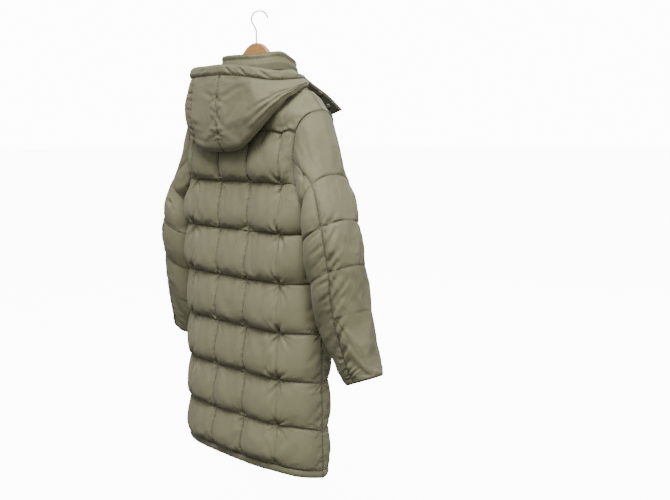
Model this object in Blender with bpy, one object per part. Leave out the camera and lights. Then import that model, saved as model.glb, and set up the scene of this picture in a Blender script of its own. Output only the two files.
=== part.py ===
# Long quilted puffer coat with a hood, hanging closed on a wooden hanger.
# Metres, +Z up. The coat faces -Y, so the wearer's left is +X. The world origin is the bearing
# point inside the top of the hanger's hook; everything hangs from the empty HANG, whose own
# origin lies on the hanger's stem. A height is given as a drop below the bearing point.

import math

import bmesh
import bpy
import numpy as np
from mathutils import Matrix, Vector

# ---- driving dimensions ----------------------------------------------------------------------
HOOK_OFFSET = (0.0058, 0.0064, 0.0)  # the stem, seen from the bearing point
GAP = 0.0003  # between two sewn pieces
CELL = 0.12  # width of a quilted cell round the body
WALL = 0.0025  # shell, lining and flattened down at a quilting seam
PUFF = 0.022  # height of a body cell over its seams
YOKE_PUFF = 0.013
SHOULDER_PUFF = 0.008  # at the shoulder seams, which aren't flattened
SLEEVE_PUFF = 0.012
SIDE_DIP = 0.017  # how much lower the right side seam hangs at the hem
ARM_EDGE = 0.0042  # thickness of both edges at the armhole seam
HEM_WALL = 0.003
HEM_HEIGHT = 0.019
UNDERARM_ROW = 2.375  # rows are counted in quilting rows from the shoulder seam

BODY_ROWS = [i / 4 for i in range(9)] + [2.125, 2.25, 2.375, 2.5, 2.75] + [3 + i / 4 for i in range(21)]
ARM_ROWS = [row for row in BODY_ROWS if row <= UNDERARM_ROW]

# Drop of each horizontal quilting seam, the last one being the hem seam
SEAM_DROPS = (0.305, 0.430, 0.550, 0.671, 0.7915, 0.9076, 1.0202, 1.1175)

# Sections of the body along its seams: a half superellipse behind the side seams, one before
BODY = {
    "drop": (0.305, 0.430, 0.475, 0.550, 0.671, 0.7915, 0.9076, 1.0202, 1.1175),
    "half_width": (0.262, 0.245, 0.238, 0.235, 0.241, 0.247, 0.248, 0.249, 0.252),
    "back": (0.066, 0.066, 0.068, 0.073, 0.079, 0.083, 0.088, 0.094, 0.100),
    "front": (0.066, 0.064, 0.062, 0.060, 0.055, 0.052, 0.051, 0.051, 0.052),
    "squareness": (4.0, 5.0, 5.6, 5.6, 4.2, 3.5, 3.2, 3.0, 3.0),
}
# How much of its half girth a panel keeps beside the armhole
ARMHOLE = {
    "row": (1.0, 1.25, 1.5, 1.75, 2.0, 2.125, 2.25, 2.375),
    "reach": (0.745, 0.735, 0.735, 0.75, 0.78, 0.83, 0.90, 1.0),
}
SHOULDER = {
    "x": (0.0907, 0.150, 0.180, 0.216, 0.249),
    "drop": (0.174, 0.190, 0.2035, 0.2205, 0.2525),
}
NECK = {"half_width": 0.092, "half_depth": 0.080, "centre_y": -0.0135}
NECK_SIDE_X = 0.0907  # where the neckline, at y = 0, meets the shoulder seam
NAPE_DROP = 0.180
THROAT_DROP = 0.215

# What is left of a cell's height where the body turns forward and at its side seams
PRESSED = {
    "row": (0.0, 1.0, 2.0, 3.5, 4.5, 8.0),
    "corner": (0.9, 0.85, 0.8, 0.76, 0.47, 0.38),
    "side": (0.5, 0.3, -0.4, 0.0, 0.25, 0.25),
}

# Rings of the sleeves at their quilting seams, the cuff last; they don't hang quite alike
SLEEVES = {
    "right": {
        "outer_x": (0.309, 0.359, 0.379, 0.387, 0.402, 0.413),
        "outer_drop": (0.402, 0.505, 0.608, 0.715, 0.822, 0.872),
        "inner_x": (0.258, 0.2555, 0.270, 0.279, 0.310, 0.332),
        "inner_drop": (0.497, 0.575, 0.667, 0.770, 0.860, 0.906),
        "centre_y": (0.014, 0.022, 0.014, -0.002, -0.020, -0.028),
        "half_depth": (0.066, 0.068, 0.062, 0.055, 0.043, 0.034),
        "elbow_deg": (58.0, 54.0, 60.0, 70.0, 80.0, 88.0),
        "puff_share": (0.8, 0.8, 0.75, 0.7, 0.6, 0.45),
    },
    "left": {
        "outer_x": (0.309, 0.357, 0.382, 0.388, 0.402, 0.409),
        "outer_drop": (0.412, 0.522, 0.630, 0.728, 0.818, 0.853),
        "inner_x": (0.257, 0.2555, 0.273, 0.284, 0.312, 0.328),
        "inner_drop": (0.497, 0.588, 0.683, 0.778, 0.848, 0.877),
        "centre_y": (0.010, 0.012, 0.000, -0.014, -0.024, -0.030),
        "half_depth": (0.058, 0.066, 0.060, 0.054, 0.043, 0.034),
        "elbow_deg": (64.0, 60.0, 62.0, 70.0, 80.0, 88.0),
        "puff_share": (0.8, 0.8, 0.7, 0.6, 0.5, 0.4),
    },
}
SLEEVE_STEPS = np.array([i / 4 for i in range(21)] + [5.33, 5.67, 6.0])
SEAM_HOLD = (0.0, 0.0, 0.0, 0.15, 0.55, 0.65, 0.0)  # puff kept at each sleeve seam
UNDERARM_ROOM = 0.005  # how far a sleeve is turned away from the body beside the underarm
ELBOW_COLUMN = 6  # the armhole point, counted from the shoulder, where the elbow seam starts

# Wall of the stand collar from its foot to its top edge
COLLAR = {
    "height": (0.0, 0.13, 0.20, 0.40, 0.62, 0.82, 0.92, 1.0),
    "lean": (0.0, 0.0, 0.0, 0.003, 0.006, 0.0085, 0.008, 0.009),
    "thickness": (0.004, 0.004, 0.009, 0.012, 0.011, 0.005, 0.007, 0.0035),
}
COLLAR_SHIFT = 0.005  # backwards, at the top
COLLAR_TOP = {
    "turn_deg": (0.0, 45.0, 88.0, 110.0, 132.0, 180.0),
    "drop": (0.1125, 0.1120, 0.1055, 0.1180, 0.1240, 0.1280),
}
COLLAR_FOOT = 0.003  # the foot reaches this far below the neckline, inside it

# The hanging hood from the centre back to its front end: rim seam, bottom fold and neck seam
HOOD = {
    "rim_x": (0.0002, 0.070, 0.125, 0.153, 0.171, 0.168, 0.143),
    "rim_y": (0.112, 0.112, 0.108, 0.086, 0.055, 0.005, -0.030),
    "rim_drop_left": (0.162, 0.163, 0.1655, 0.170, 0.173, 0.1735, 0.171),
    "rim_drop_right": (0.162, 0.1665, 0.173, 0.1780, 0.179, 0.176, 0.171),
    "rim_height": (0.0255, 0.0255, 0.0255, 0.024, 0.021, 0.0145, 0.008),
    "fold_x": (0.0002, 0.070, 0.128, 0.170, 0.190, 0.180, 0.150),
    "fold_y": (0.106, 0.106, 0.100, 0.084, 0.054, 0.004, -0.033),
    "fold_drop_left": (0.350, 0.349, 0.326, 0.272, 0.226, 0.200, 0.193),
    "fold_drop_right": (0.350, 0.343, 0.304, 0.260, 0.224, 0.199, 0.193),
    "neck_deg": (0.0, 22.0, 45.0, 62.0, 80.0, 98.0, 114.0),
    "neck_drop": (0.166, 0.166, 0.163, 0.158, 0.153, 0.150, 0.158),
    "bulge": (0.014, 0.013, 0.012, 0.012, 0.012, 0.010, 0.006),
}
HOOD_PLACES = np.linspace(0, 6, 13)
NECK_SEAM_GROW = 0.0165  # the hood's neck seam runs this far outside the neck ellipse
HOOD_WALL = 0.008
HOOD_INNER_WALL = 0.003
HOOD_CLEARANCE = 0.0035
RIM_SEAM_WALL = 0.0045
RIM_LEAN = 0.004

# The loose throat tab, the end of the hood that snaps across the chin, along its length
TAB = {
    "top_x": (0.112, 0.135, 0.165, 0.196),
    "top_y": (-0.058, -0.076, -0.095, -0.115),
    "top_drop": (0.162, 0.186, 0.212, 0.2485),
    "low_x": (0.100, 0.112, 0.132, 0.158),
    "low_y": (-0.066, -0.078, -0.093, -0.110),
    "low_drop": (0.198, 0.214, 0.235, 0.262),
}
TAB_PLACES = np.linspace(0, 3, 9)
TAB_SNAPS = {"place": (0.6, 1.6, 2.45), "width_share": (0.3, 0.8, 0.45)}
TAB_WALL = 0.006
SNAP_RADIUS = 0.0062
SNAP_HEIGHT = 0.0022
SNAP_LIFT = 0.0005

PLACKET_HALF_WIDTH = 0.029
PLACKET_WALL = 0.003
PLACKET_PUFF = 0.006

# Hanger
WOOD_THICKNESS = 0.012
WOOD_BEVEL = 0.003
WOOD = (  # x, upper edge's drop, lower edge's drop
    (0.000, 0.0780, 0.1200),
    (0.012, 0.0791, 0.1205),
    (0.024, 0.0824, 0.1220),
    (0.035, 0.0877, 0.1245),
    (0.045, 0.0950, 0.1290),
    (0.055, 0.1060, 0.1370),
    (0.063, 0.1200, 0.1470),
    (0.070, 0.1380, 0.1590),
    (0.0765, 0.1570, 0.1730),
    (0.082, 0.1740, 0.1860),
    (0.088, 0.1815, 0.1940),
    (0.105, 0.1845, 0.2000),
    (0.135, 0.1905, 0.2070),
    (0.170, 0.2030, 0.2190),
    (0.205, 0.2185, 0.2350),
)
WIRE_RADIUS = 0.0018
HOOK_RADIUS = 0.0206  # of the wire's centre line
HOOK_AZIMUTH_DEG = 228.0  # the hook's plane faces this azimuth
HOOK_TIP_DEG = 8.0
HOOK_LOWEST_DEG = 215.0
STEM_TOP_DROP = 0.046

SAGE = (0.265, 0.255, 0.180, 1.0)
INSIDE = (0.060, 0.058, 0.036, 1.0)
MATERIALS = {
    "shell": (SAGE, 0.62, 0.0),
    "tab_fabric": (INSIDE, 0.70, 0.0),
    "snap_metal": ((0.32, 0.31, 0.27, 1.0), 0.35, 0.9),
    "beech": ((0.58, 0.32, 0.14, 1.0), 0.42, 0.0),
    "chrome": ((0.78, 0.78, 0.79, 1.0), 0.18, 1.0),
}


# ---- scene and mesh helpers ------------------------------------------------------------------
def clear_scene():
    for obj in list(bpy.data.objects):
        bpy.data.objects.remove(obj, do_unlink=True)


def make_materials():
    made = {}
    for name, (colour, roughness, metallic) in MATERIALS.items():
        material = bpy.data.materials.new(name)
        material.use_nodes = True
        shader = material.node_tree.nodes["Principled BSDF"]
        shader.inputs["Base Color"].default_value = colour
        shader.inputs["Roughness"].default_value = roughness
        shader.inputs["Metallic"].default_value = metallic
        made[name] = material
    return made


def add_object(name, mesh, material):
    obj = bpy.data.objects.new(name, mesh)
    mesh.materials.append(material)
    collection.objects.link(obj)
    obj.parent = hang
    return obj


def add_wall(name, inner, outer, material, seam_rows=(), seam_columns=()):
    """A cloth piece: two grids of points, rows x columns, sewn round their edge into one closed
    body. Its outer sheet is creased along the quilting seams."""
    rows, columns = inner.shape[:2]
    mesh = bmesh.new()
    sheets = []
    for grid in (inner, outer):
        sheets.append([[mesh.verts.new(point) for point in row] for row in grid])
    for sheet in sheets:
        for i in range(rows - 1):
            for j in range(columns - 1):
                mesh.faces.new((sheet[i][j], sheet[i][j + 1], sheet[i + 1][j + 1], sheet[i + 1][j]))
    border = [(0, j) for j in range(columns)] + [(i, columns - 1) for i in range(1, rows)]
    border += [(rows - 1, j) for j in range(columns - 2, -1, -1)] + [(i, 0) for i in range(rows - 2, 0, -1)]
    for (i, j), (k, l) in zip(border, border[1:] + border[:1]):
        mesh.faces.new((sheets[0][i][j], sheets[0][k][l], sheets[1][k][l], sheets[1][i][j]))
    bmesh.ops.recalc_face_normals(mesh, faces=mesh.faces)
    for face in mesh.faces:
        face.smooth = True
    for edge in mesh.edges:
        edge.smooth = edge.calc_face_angle(0) < math.radians(55)
    along = [((i, j), (i, j + 1)) for i in seam_rows for j in range(columns - 1)]
    along += [((i, j), (i + 1, j)) for j in seam_columns for i in range(rows - 1)]
    for (i, j), (k, l) in along:
        mesh.edges.get((sheets[1][i][j], sheets[1][k][l])).smooth = False
    data = bpy.data.meshes.new(name)
    mesh.to_mesh(data)
    mesh.free()
    return add_object(name, data, material)


# ---- curves and sections ---------------------------------------------------------------------
def curve_through(knots, values, at):
    """Smooth cubic through the values at the knots, which rise; values may be numbers or points."""
    knots, values = np.asarray(knots, float), np.asarray(values, float)
    at = np.clip(np.asarray(at, float), knots[0], knots[-1])
    slopes = np.gradient(values, knots, axis=0)
    i = np.clip(np.searchsorted(knots, at, side="right") - 1, 0, len(knots) - 2)
    step = knots[i + 1] - knots[i]
    u = (at - knots[i]) / step
    tail = (1,) * (values.ndim - 1)
    u, step = u.reshape(u.shape + tail), step.reshape(step.shape + tail)
    return (
        (2 * u**3 - 3 * u**2 + 1) * values[i]
        + (u**3 - 2 * u**2 + u) * step * slopes[i]
        + (3 * u**2 - 2 * u**3) * values[i + 1]
        + (u**3 - u**2) * step * slopes[i + 1]
    )


def soft_step(share):
    share = np.clip(share, 0, 1)
    return share * share * (3 - 2 * share)


def unit(vectors):
    return vectors / np.maximum(np.linalg.norm(vectors, axis=-1, keepdims=True), 1e-12)


def grid_normals(grid, towards):
    """Normal at each point of a grid, on the side that the vectors 'towards' point to."""
    normal = unit(np.cross(np.gradient(grid, axis=1), np.gradient(grid, axis=0)))
    return normal if (normal * towards).sum(-1).mean() > 0 else -normal


def half_section(drop, side, cells, edge=1.0):
    """Points of the body's section at a drop; side is 1 for the back and -1 for the front. The
    cells are level with their numbers up to 1.5, and end at a share of the half girth."""
    width = curve_through(BODY["drop"], BODY["half_width"], drop)
    depth = curve_through(BODY["drop"], BODY["back" if side > 0 else "front"], drop)
    power = 2 / curve_through(BODY["drop"], BODY["squareness"], drop)
    turn = np.linspace(0, math.pi, 721)
    x = -np.sign(np.cos(turn)) * np.abs(np.cos(turn)) ** power * width
    y = np.sin(turn).clip(0) ** power * depth
    length = np.concatenate([[0], np.cumsum(np.hypot(np.diff(x), np.diff(y)))])
    size = np.abs(cells)
    straight, last = np.interp(CELL * np.minimum(size, 1.5), x, length), np.interp(1.5 * CELL, x, length)
    at = straight + (length[-1] / 2 * (1 + edge) - last) * (size - 1.5).clip(0)
    points_x, points_y = np.sign(cells) * np.interp(at, length, x), side * np.interp(at, length, y)
    low = ((-cells - 1.4) / 1.1).clip(0) ** 1.6 * soft_step((drop - 0.70) / 0.42)
    return np.column_stack([points_x, points_y, -drop - SIDE_DIP * low])


def row_drop(row):
    return float(np.interp(row, range(1, len(SEAM_DROPS) + 1), SEAM_DROPS))


def neck_turn(share, side):
    """Angle on the neck ellipse from the centre back, for a share of a panel's half neckline."""
    shoulder = math.acos(-NECK["centre_y"] / NECK["half_depth"])
    return shoulder * share if side > 0 else math.pi + (shoulder - math.pi) * share


def neck_drop(x, side):
    """Drop of the neckline, and of the shoulder seam beyond it."""
    share = np.clip(np.abs(x) / NECK_SIDE_X, 0, 1)
    centre = NAPE_DROP if side > 0 else THROAT_DROP
    neckline = SHOULDER["drop"][0] + (centre - SHOULDER["drop"][0]) * np.cos(share * math.pi / 2)
    seam = curve_through(SHOULDER["x"], SHOULDER["drop"], np.abs(x))
    return np.where(share < 1, neckline, seam)


def body_row(row, side, cells):
    """Points of one row of a body panel; cells count quilted cells from the centre line."""
    edge = float(np.interp(row, ARMHOLE["row"], ARMHOLE["reach"]))
    size = np.abs(cells)
    if row >= 1:
        return half_section(row_drop(row), side, cells, edge)
    low = half_section(SEAM_DROPS[0], side, cells, edge)
    turn = neck_turn(np.clip(size / 0.75, 0, 1), side)
    beyond = np.interp(size, (0.75, 1.5, 2.5), (NECK_SIDE_X, 0.165, SHOULDER["x"][-1]))
    top_x = np.sign(cells) * np.where(size < 0.75, NECK["half_width"] * np.sin(turn), beyond)
    top_y = np.where(size < 0.75, NECK["centre_y"] + NECK["half_depth"] * np.cos(turn), 0.0)
    top_drop = neck_drop(top_x, side)
    rise = 1 - row
    over = np.clip(np.abs(top_x) / NECK_SIDE_X, 0, 1) ** 2  # 0 stays upright, 1 turns over the shoulder
    turn = rise * math.pi / 2
    y_share = (1 - over) * (1 - rise) + over * math.cos(turn)
    z_share = (1 - over) * rise + over * math.sin(turn)
    return np.stack(
        [
            low[:, 0] + (top_x - low[:, 0]) * rise,
            top_y + (low[:, 1] - top_y) * y_share,
            -SEAM_DROPS[0] + (SEAM_DROPS[0] - top_drop) * z_share,
        ],
        -1,
    )


# ---- quilting --------------------------------------------------------------------------------
def row_swell(t):
    """Height of a cell down its row, fuller in the lower half."""
    return np.sin(math.pi * np.clip(t, 0, 1) ** 1.12).clip(0) ** 0.6


def seam_pinch(distance, depth):
    """What a lengthwise seam leaves of a cell's height, at a distance counted in cells."""
    return 1 - depth * np.clip(1 - distance / 0.4, 0, 1) ** 1.3


def cell_height(cells, rows):
    """Height of the body's quilting over its seams, for a grid of cell and row numbers."""
    size = np.abs(cells)
    within = np.abs((size - 0.5) - np.round(size - 0.5))
    height = row_swell(rows % 1) * np.where(rows < 1, YOKE_PUFF, PUFF)
    shoulder = SHOULDER_PUFF * soft_step((size - 0.75) / 0.4) * soft_step(1 - 2 * rows)
    height = np.maximum(height, shoulder)
    pinched = np.where(rows < 1, 1.0, seam_pinch(within, 0.5))
    at_corner = np.interp(rows, PRESSED["row"], PRESSED["corner"])
    at_side = np.interp(rows, PRESSED["row"], PRESSED["side"])
    corner_share = 1 + (at_corner - 1) * soft_step((size - 1.2) / 0.8)
    side_share = corner_share + (at_side - at_corner) * soft_step((size - 1.9) / 0.6)
    return height * pinched * side_share.clip(0)


# ---- body and sleeves share the armhole ------------------------------------------------------
def body_grid(side, cells):
    return np.stack([body_row(row, side, cells) for row in BODY_ROWS])


def body_normals(grid, side, cells):
    normal = grid_normals(grid, np.array([0.0, side, 0.0]))
    rows = np.array(BODY_ROWS)
    at_side = (rows >= UNDERARM_ROW)[:, None] & (np.abs(cells) == 2.5)[None, :]
    on_shoulder = (rows == 0)[:, None] & (np.abs(cells) >= 0.75)[None, :]
    normal[at_side | on_shoulder, 1] = 0
    return unit(normal)


def armhole_loop():
    """Points and body normals round the left armhole: shoulder, back, underarm, front."""
    count = len(ARM_ROWS)
    cells = np.linspace(-2.5, 2.5, 21)
    points, normals = [], []
    for side in (1, -1):
        grid = body_grid(side, cells)
        normals.append(body_normals(grid, side, cells)[:count, -1])
        points.append(grid[:count, -1])
    for i in (0, -1):
        normals[0][i] = normals[1][i] = unit(normals[0][i] + normals[1][i])
        points[0][i, 1] = 0
    back, front = slice(0, count), slice(count - 2, 0, -1)
    return (
        np.concatenate([points[0][back], points[1][front]]),
        np.concatenate([normals[0][back], normals[1][front]]),
    )


def sleeve_ring(table, i):
    """Points of a sleeve's ring at seam i, one for each point of the armhole."""
    outer = np.array([table["outer_x"][i], table["centre_y"][i], -table["outer_drop"][i]])
    inner = np.array([table["inner_x"][i], table["centre_y"][i], -table["inner_drop"][i]])
    last = len(ARM_ROWS) - 1
    index = np.arange(last + 1)
    degrees = np.interp(index, (0, ELBOW_COLUMN, last), (0, table["elbow_deg"][i], 180))
    angles = np.radians(np.concatenate([degrees, 360 - degrees[-2:0:-1]]))[:, None]
    across = (outer - inner) / 2
    depth = np.array([0.0, table["half_depth"][i], 0.0])
    return (outer + inner) / 2 + across * np.cos(angles) + depth * np.sin(angles)


def sleeve_grid(side_name):
    """Rings of points down a sleeve, on the left; step 0 is the armhole and each seam adds 1."""
    table = SLEEVES[side_name]
    rings = [armhole_loop()[0]] + [sleeve_ring(table, i) for i in range(6)]
    grid = curve_through(range(7), np.stack(rings), SLEEVE_STEPS)
    underarm = np.exp(-(((np.arange(grid.shape[1]) - 11) / 3.0) ** 2))
    away = np.interp(SLEEVE_STEPS, (0, 0.25, 1, 2), (0.0, 1.0, 0.4, 0.0))
    grid[..., 0] += UNDERARM_ROOM * away[:, None] * underarm[None, :]
    return grid


def ring_normals(grid):
    """Outward normals of a grid whose columns close round a tube."""
    across = np.roll(grid, -1, axis=1) - np.roll(grid, 1, axis=1)
    normal = unit(np.cross(across, np.gradient(grid, axis=0)))
    outward = grid - grid.mean(axis=1, keepdims=True)
    return normal if (normal * outward).sum(-1).mean() > 0 else -normal


def armhole_seam(side_name):
    """Way up the sewn edge and way across the seam, for each armhole point."""
    loop, body_normal = armhole_loop()
    sleeve = sleeve_grid(side_name)
    shared = unit(body_normal + ring_normals(sleeve)[0])
    along = unit(np.roll(loop, -1, axis=0) - np.roll(loop, 1, axis=0))
    across = unit(sleeve[1] - loop)
    for axis in (shared, along):
        across = across - (across * axis).sum(-1, keepdims=True) * axis
    return shared * ARM_EDGE, unit(across) * GAP


def sew_armhole(inner, outer, side, edges):
    """Sets a body panel's edges beside the armholes on the shared seams."""
    count = len(ARM_ROWS)
    for column, side_name, mirror in edges:
        lean, across = armhole_seam(side_name)
        order = list(range(count)) if side > 0 else [0] + list(range(len(lean) - 1, count - 2, -1))
        turn = np.array([mirror, 1.0, 1.0])
        inner[:count, column] -= across[order] * turn
        outer[:count, column] = inner[:count, column] + lean[order] * turn


# ---- body ------------------------------------------------------------------------------------
def hold_side(points, side):
    """Holds points of a panel on its own side of the side and shoulder seams."""
    points[..., 1] = np.maximum(points[..., 1] * side, GAP / 2) * side


def hold_half(points, half):
    """Holds points of a front on its own side of the centre line."""
    points[..., 0] = np.maximum(points[..., 0] * half, GAP / 2) * half


def body_sheets(side, cells):
    """Inner and outer points of a body panel."""
    grid = body_grid(side, cells)
    normal = body_normals(grid, side, cells)
    across, rows = np.meshgrid(cells, BODY_ROWS)
    height = cell_height(across, rows)
    if side < 0:  # flat under the placket
        height = height * np.clip((np.abs(grid[..., 0]) - 0.035) / 0.030, 0, 1)
    return grid.copy(), grid + normal * (WALL + height)[..., None]


def add_body_panel(name, side, cells, edges):
    inner, outer = body_sheets(side, cells)
    sew_armhole(inner, outer, side, edges)
    across, rows = np.meshgrid(cells, BODY_ROWS)
    at_seam = (rows == 0) & (np.abs(across) >= 0.75)
    at_seam |= (rows >= UNDERARM_ROW) & (np.abs(across) == 2.5)
    for sheet in (inner, outer):
        held = sheet.copy()
        hold_side(held, side)
        sheet[at_seam] = held[at_seam]
        if side < 0:
            hold_half(sheet, np.sign(cells.sum()))
    seam_rows = [i for i, row in enumerate(BODY_ROWS) if row % 1 == 0]
    seam_columns = [j for j, cell in enumerate(cells) if abs(cell) in (0.5, 1.5)]
    add_wall(name, inner, outer, materials["shell"], seam_rows, seam_columns)


def add_hem(name, side, cells):
    """Plain turned hem under the last quilting seam."""
    top = body_row(8.0, side, cells)
    top[:, 2] -= GAP
    grid = np.stack([top, top - np.array([0, 0, HEM_HEIGHT])])
    normal = grid_normals(grid, np.array([0.0, side, 0.0]))
    normal[:, np.abs(cells) == 2.5, 1] = 0
    inner, outer = grid, grid + unit(normal) * HEM_WALL
    for sheet in (inner, outer):
        hold_side(sheet, side)
        if side < 0:
            hold_half(sheet, np.sign(cells.sum()))
    add_wall(name, inner, outer, materials["shell"])


def add_placket():
    """Strip of one width that covers the front opening, from the neckline to the hem's edge."""
    columns = np.linspace(-1, 1, 5) * PLACKET_HALF_WIDTH
    cells = np.linspace(-0.5, 0.5, 41)
    rows = np.array(BODY_ROWS + [8.0])
    places = [np.interp(columns, body_row(row, -1, cells)[:, 0], cells) for row in rows]
    grid = np.stack([body_row(row, -1, place) for row, place in zip(rows, places)])
    grid[-1, :, 2] -= HEM_HEIGHT
    normal = grid_normals(grid, np.array([0.0, -1.0, 0.0]))
    base = grid + normal * (HEM_WALL + 0.0005)
    swell = row_swell(rows % 1)[:, None] * np.array([0.5, 0.95, 1.0, 0.95, 0.5])
    outer = base + normal * (PLACKET_WALL + PLACKET_PUFF * swell)[..., None]
    add_wall("placket", base, outer, materials["shell"])


# ---- sleeves ---------------------------------------------------------------------------------
def sleeve_height(table, columns, elbows):
    """Height of a sleeve's quilting: steps down it by columns round it."""
    hold = np.interp(SLEEVE_STEPS, range(7), SEAM_HOLD) * 0.8
    swell = hold + (1 - hold) * row_swell(np.where(SLEEVE_STEPS == 6, 1.0, SLEEVE_STEPS % 1))
    swell[SLEEVE_STEPS == 6] = 0
    share = np.interp(SLEEVE_STEPS, range(7), (0.5,) + table["puff_share"])
    nearest = np.min([np.abs(columns - elbow) for elbow in elbows], axis=0) / 4
    towards_body = np.exp(-(((columns - 11) / 2.6) ** 2))  # pressed flat where it lies on the body
    pressed = np.interp(SLEEVE_STEPS, (0, 1, 2, 3, 4, 5), (0.9, 0.9, 0.75, 0.6, 0.3, 0.1))
    flat = 1 - towards_body[None, :] * pressed[:, None]
    return SLEEVE_PUFF * (swell * share)[:, None] * seam_pinch(nearest, 0.45)[None, :] * flat


def add_sleeve(side_name, mirror):
    grid = sleeve_grid(side_name)
    count = grid.shape[1]
    elbows = (ELBOW_COLUMN, count - ELBOW_COLUMN)
    columns = np.arange(count)
    height = sleeve_height(SLEEVES[side_name], columns, elbows)
    lean, across = armhole_seam(side_name)
    inner = grid.copy()
    outer = grid + ring_normals(grid) * (WALL + height)[..., None]
    inner[0] += across
    outer[0] = inner[0] + lean
    round_it = unit(np.roll(grid, -1, axis=1) - np.roll(grid, 1, axis=1)) * GAP
    pieces = {
        "upper": np.concatenate([columns[elbows[1] :], columns[: elbows[0] + 1]]),
        "under": columns[elbows[0] : elbows[1] + 1],
    }
    for piece, order in pieces.items():
        sheets = [inner[:, order].copy(), outer[:, order].copy()]
        for sheet in sheets:  # a gap at each elbow seam
            sheet[:, 0] += round_it[:, order[0]]
            sheet[:, -1] -= round_it[:, order[-1]]
            sheet[..., 0] *= mirror
        seam_rows = [i for i, step in enumerate(SLEEVE_STEPS) if step in (1, 2, 3, 4)]
        add_wall(f"sleeve_{side_name}_{piece}", sheets[0], sheets[1], materials["shell"], seam_rows)


# ---- collar and hood -------------------------------------------------------------------------
def ring_point(angle, grow, shift=0.0):
    """Point of the neck ellipse grown outwards; angle 0 is the centre back."""
    x = (NECK["half_width"] + grow) * np.sin(angle)
    y = NECK["centre_y"] + shift + (NECK["half_depth"] + grow) * np.cos(angle)
    return np.stack([x, y], -1)


def neckline():
    """Angles round the collar, three to each side of the panels' neckline, and its points."""
    half = [neck_turn(share / 3, 1) for share in range(4)]
    half += [neck_turn(share / 3, -1) for share in (2, 1, 0)]
    corners = np.array([-angle for angle in half[:0:-1]] + half)
    side = np.where(np.abs(corners) <= half[3] + 1e-6, 1.0, -1.0)
    drops = [float(neck_drop(NECK["half_width"] * math.sin(a), s)) for a, s in zip(corners, side)]
    points = np.column_stack([ring_point(corners, 0.0), -np.array(drops)])
    at = np.linspace(0, len(corners) - 1, 3 * (len(corners) - 1) + 1)
    knots = np.arange(len(corners))
    angles = np.interp(at, knots, corners)
    return angles, np.column_stack([np.interp(at, knots, points[:, i]) for i in range(3)])


def add_collar():
    angles, seam = neckline()
    inward = -unit(np.column_stack([np.sin(angles), np.cos(angles), 0 * angles]))
    inset = GAP + COLLAR_FOOT * 0.55 * np.clip(-np.cos(angles), 0, 1)
    foot = seam + inward * inset[:, None]
    turned = np.degrees(np.abs(angles))
    top_drop = curve_through(COLLAR_TOP["turn_deg"], COLLAR_TOP["drop"], turned)
    wall = COLLAR["thickness"][0]
    inner, outer = [], []
    for height, lean, thickness in zip(COLLAR["height"], COLLAR["lean"], COLLAR["thickness"]):
        z = seam[:, 2] - COLLAR_FOOT
        z = z + (-top_drop - z) * height
        smooth = soft_step((height - 0.13) / 0.2)
        rounded = ring_point(angles, lean - GAP - wall, COLLAR_SHIFT * height)
        level = (foot + inward * wall)[:, :2] * (1 - smooth) + rounded * smooth
        inner.append(np.column_stack([level, z]))
        outer.append(np.column_stack([level, z]) - inward * thickness)
    sheets = [np.stack(inner), np.stack(outer)]
    for sheet in sheets:  # the two ends meet at the centre front
        for end, half in ((0, -1.0), (-1, 1.0)):
            sheet[:, end, 0] = half * GAP / 2
    add_wall("collar", sheets[0], sheets[1], materials["shell"])


def hood_paths(side_name):
    """Neck seam, bottom fold and rim seam of a half along it, on the left, with the height of
    its rim and its outer wall's bulge."""
    knots = np.arange(len(HOOD["rim_x"]))
    read = {name: curve_through(knots, values, HOOD_PLACES) for name, values in HOOD.items()}
    neck = np.column_stack([ring_point(np.radians(read["neck_deg"]), NECK_SEAM_GROW), -read["neck_drop"]])
    fold = np.column_stack([read["fold_x"], read["fold_y"], -read[f"fold_drop_{side_name}"]])
    rim = np.column_stack([read["rim_x"], read["rim_y"], -read[f"rim_drop_{side_name}"]])
    rim = rim + clear_of_body(rim, HOOD_CLEARANCE) * np.array([1, 1, 0])
    return neck, fold, rim, read["rim_height"], read["bulge"]


def hood_outward(fold, rim):
    """Direction away from the coat for each place along the hood's outer wall."""
    facing = unit(np.cross(np.gradient(fold, axis=0), rim - fold))
    away = fold * np.array([1, 1, 0])
    return facing * np.sign((facing * away).sum(-1, keepdims=True))


def body_skin():
    """Sample of the outer surface round the shoulders, with its normals."""
    cells = np.linspace(-2.5, 2.5, 81)
    points, normals = [], []
    for side in (1, -1):
        rows = np.linspace(0, 2, 33)
        grid = np.stack([body_row(row, side, cells) for row in rows])
        normal = grid_normals(grid, np.array([0.0, side, 0.0]))
        normal[0, np.abs(cells) >= 0.75, 1] = 0
        normal = unit(normal)
        across, down = np.meshgrid(cells, rows)
        points.append((grid + normal * (WALL + cell_height(across, down))[..., None]).reshape(-1, 3))
        normals.append(normal.reshape(-1, 3))
    return np.concatenate(points), np.concatenate(normals)


def clear_of_body(points, room):
    """How far to move points so that they lie outside the body by some room."""
    skin, normals = body_skin()
    nearest = np.argmin(((points[:, None] - skin[None]) ** 2).sum(-1), axis=1)
    depth = ((points - skin[nearest]) * normals[nearest]).sum(-1)
    return normals[nearest] * (room - depth).clip(0)[:, None]


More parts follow.
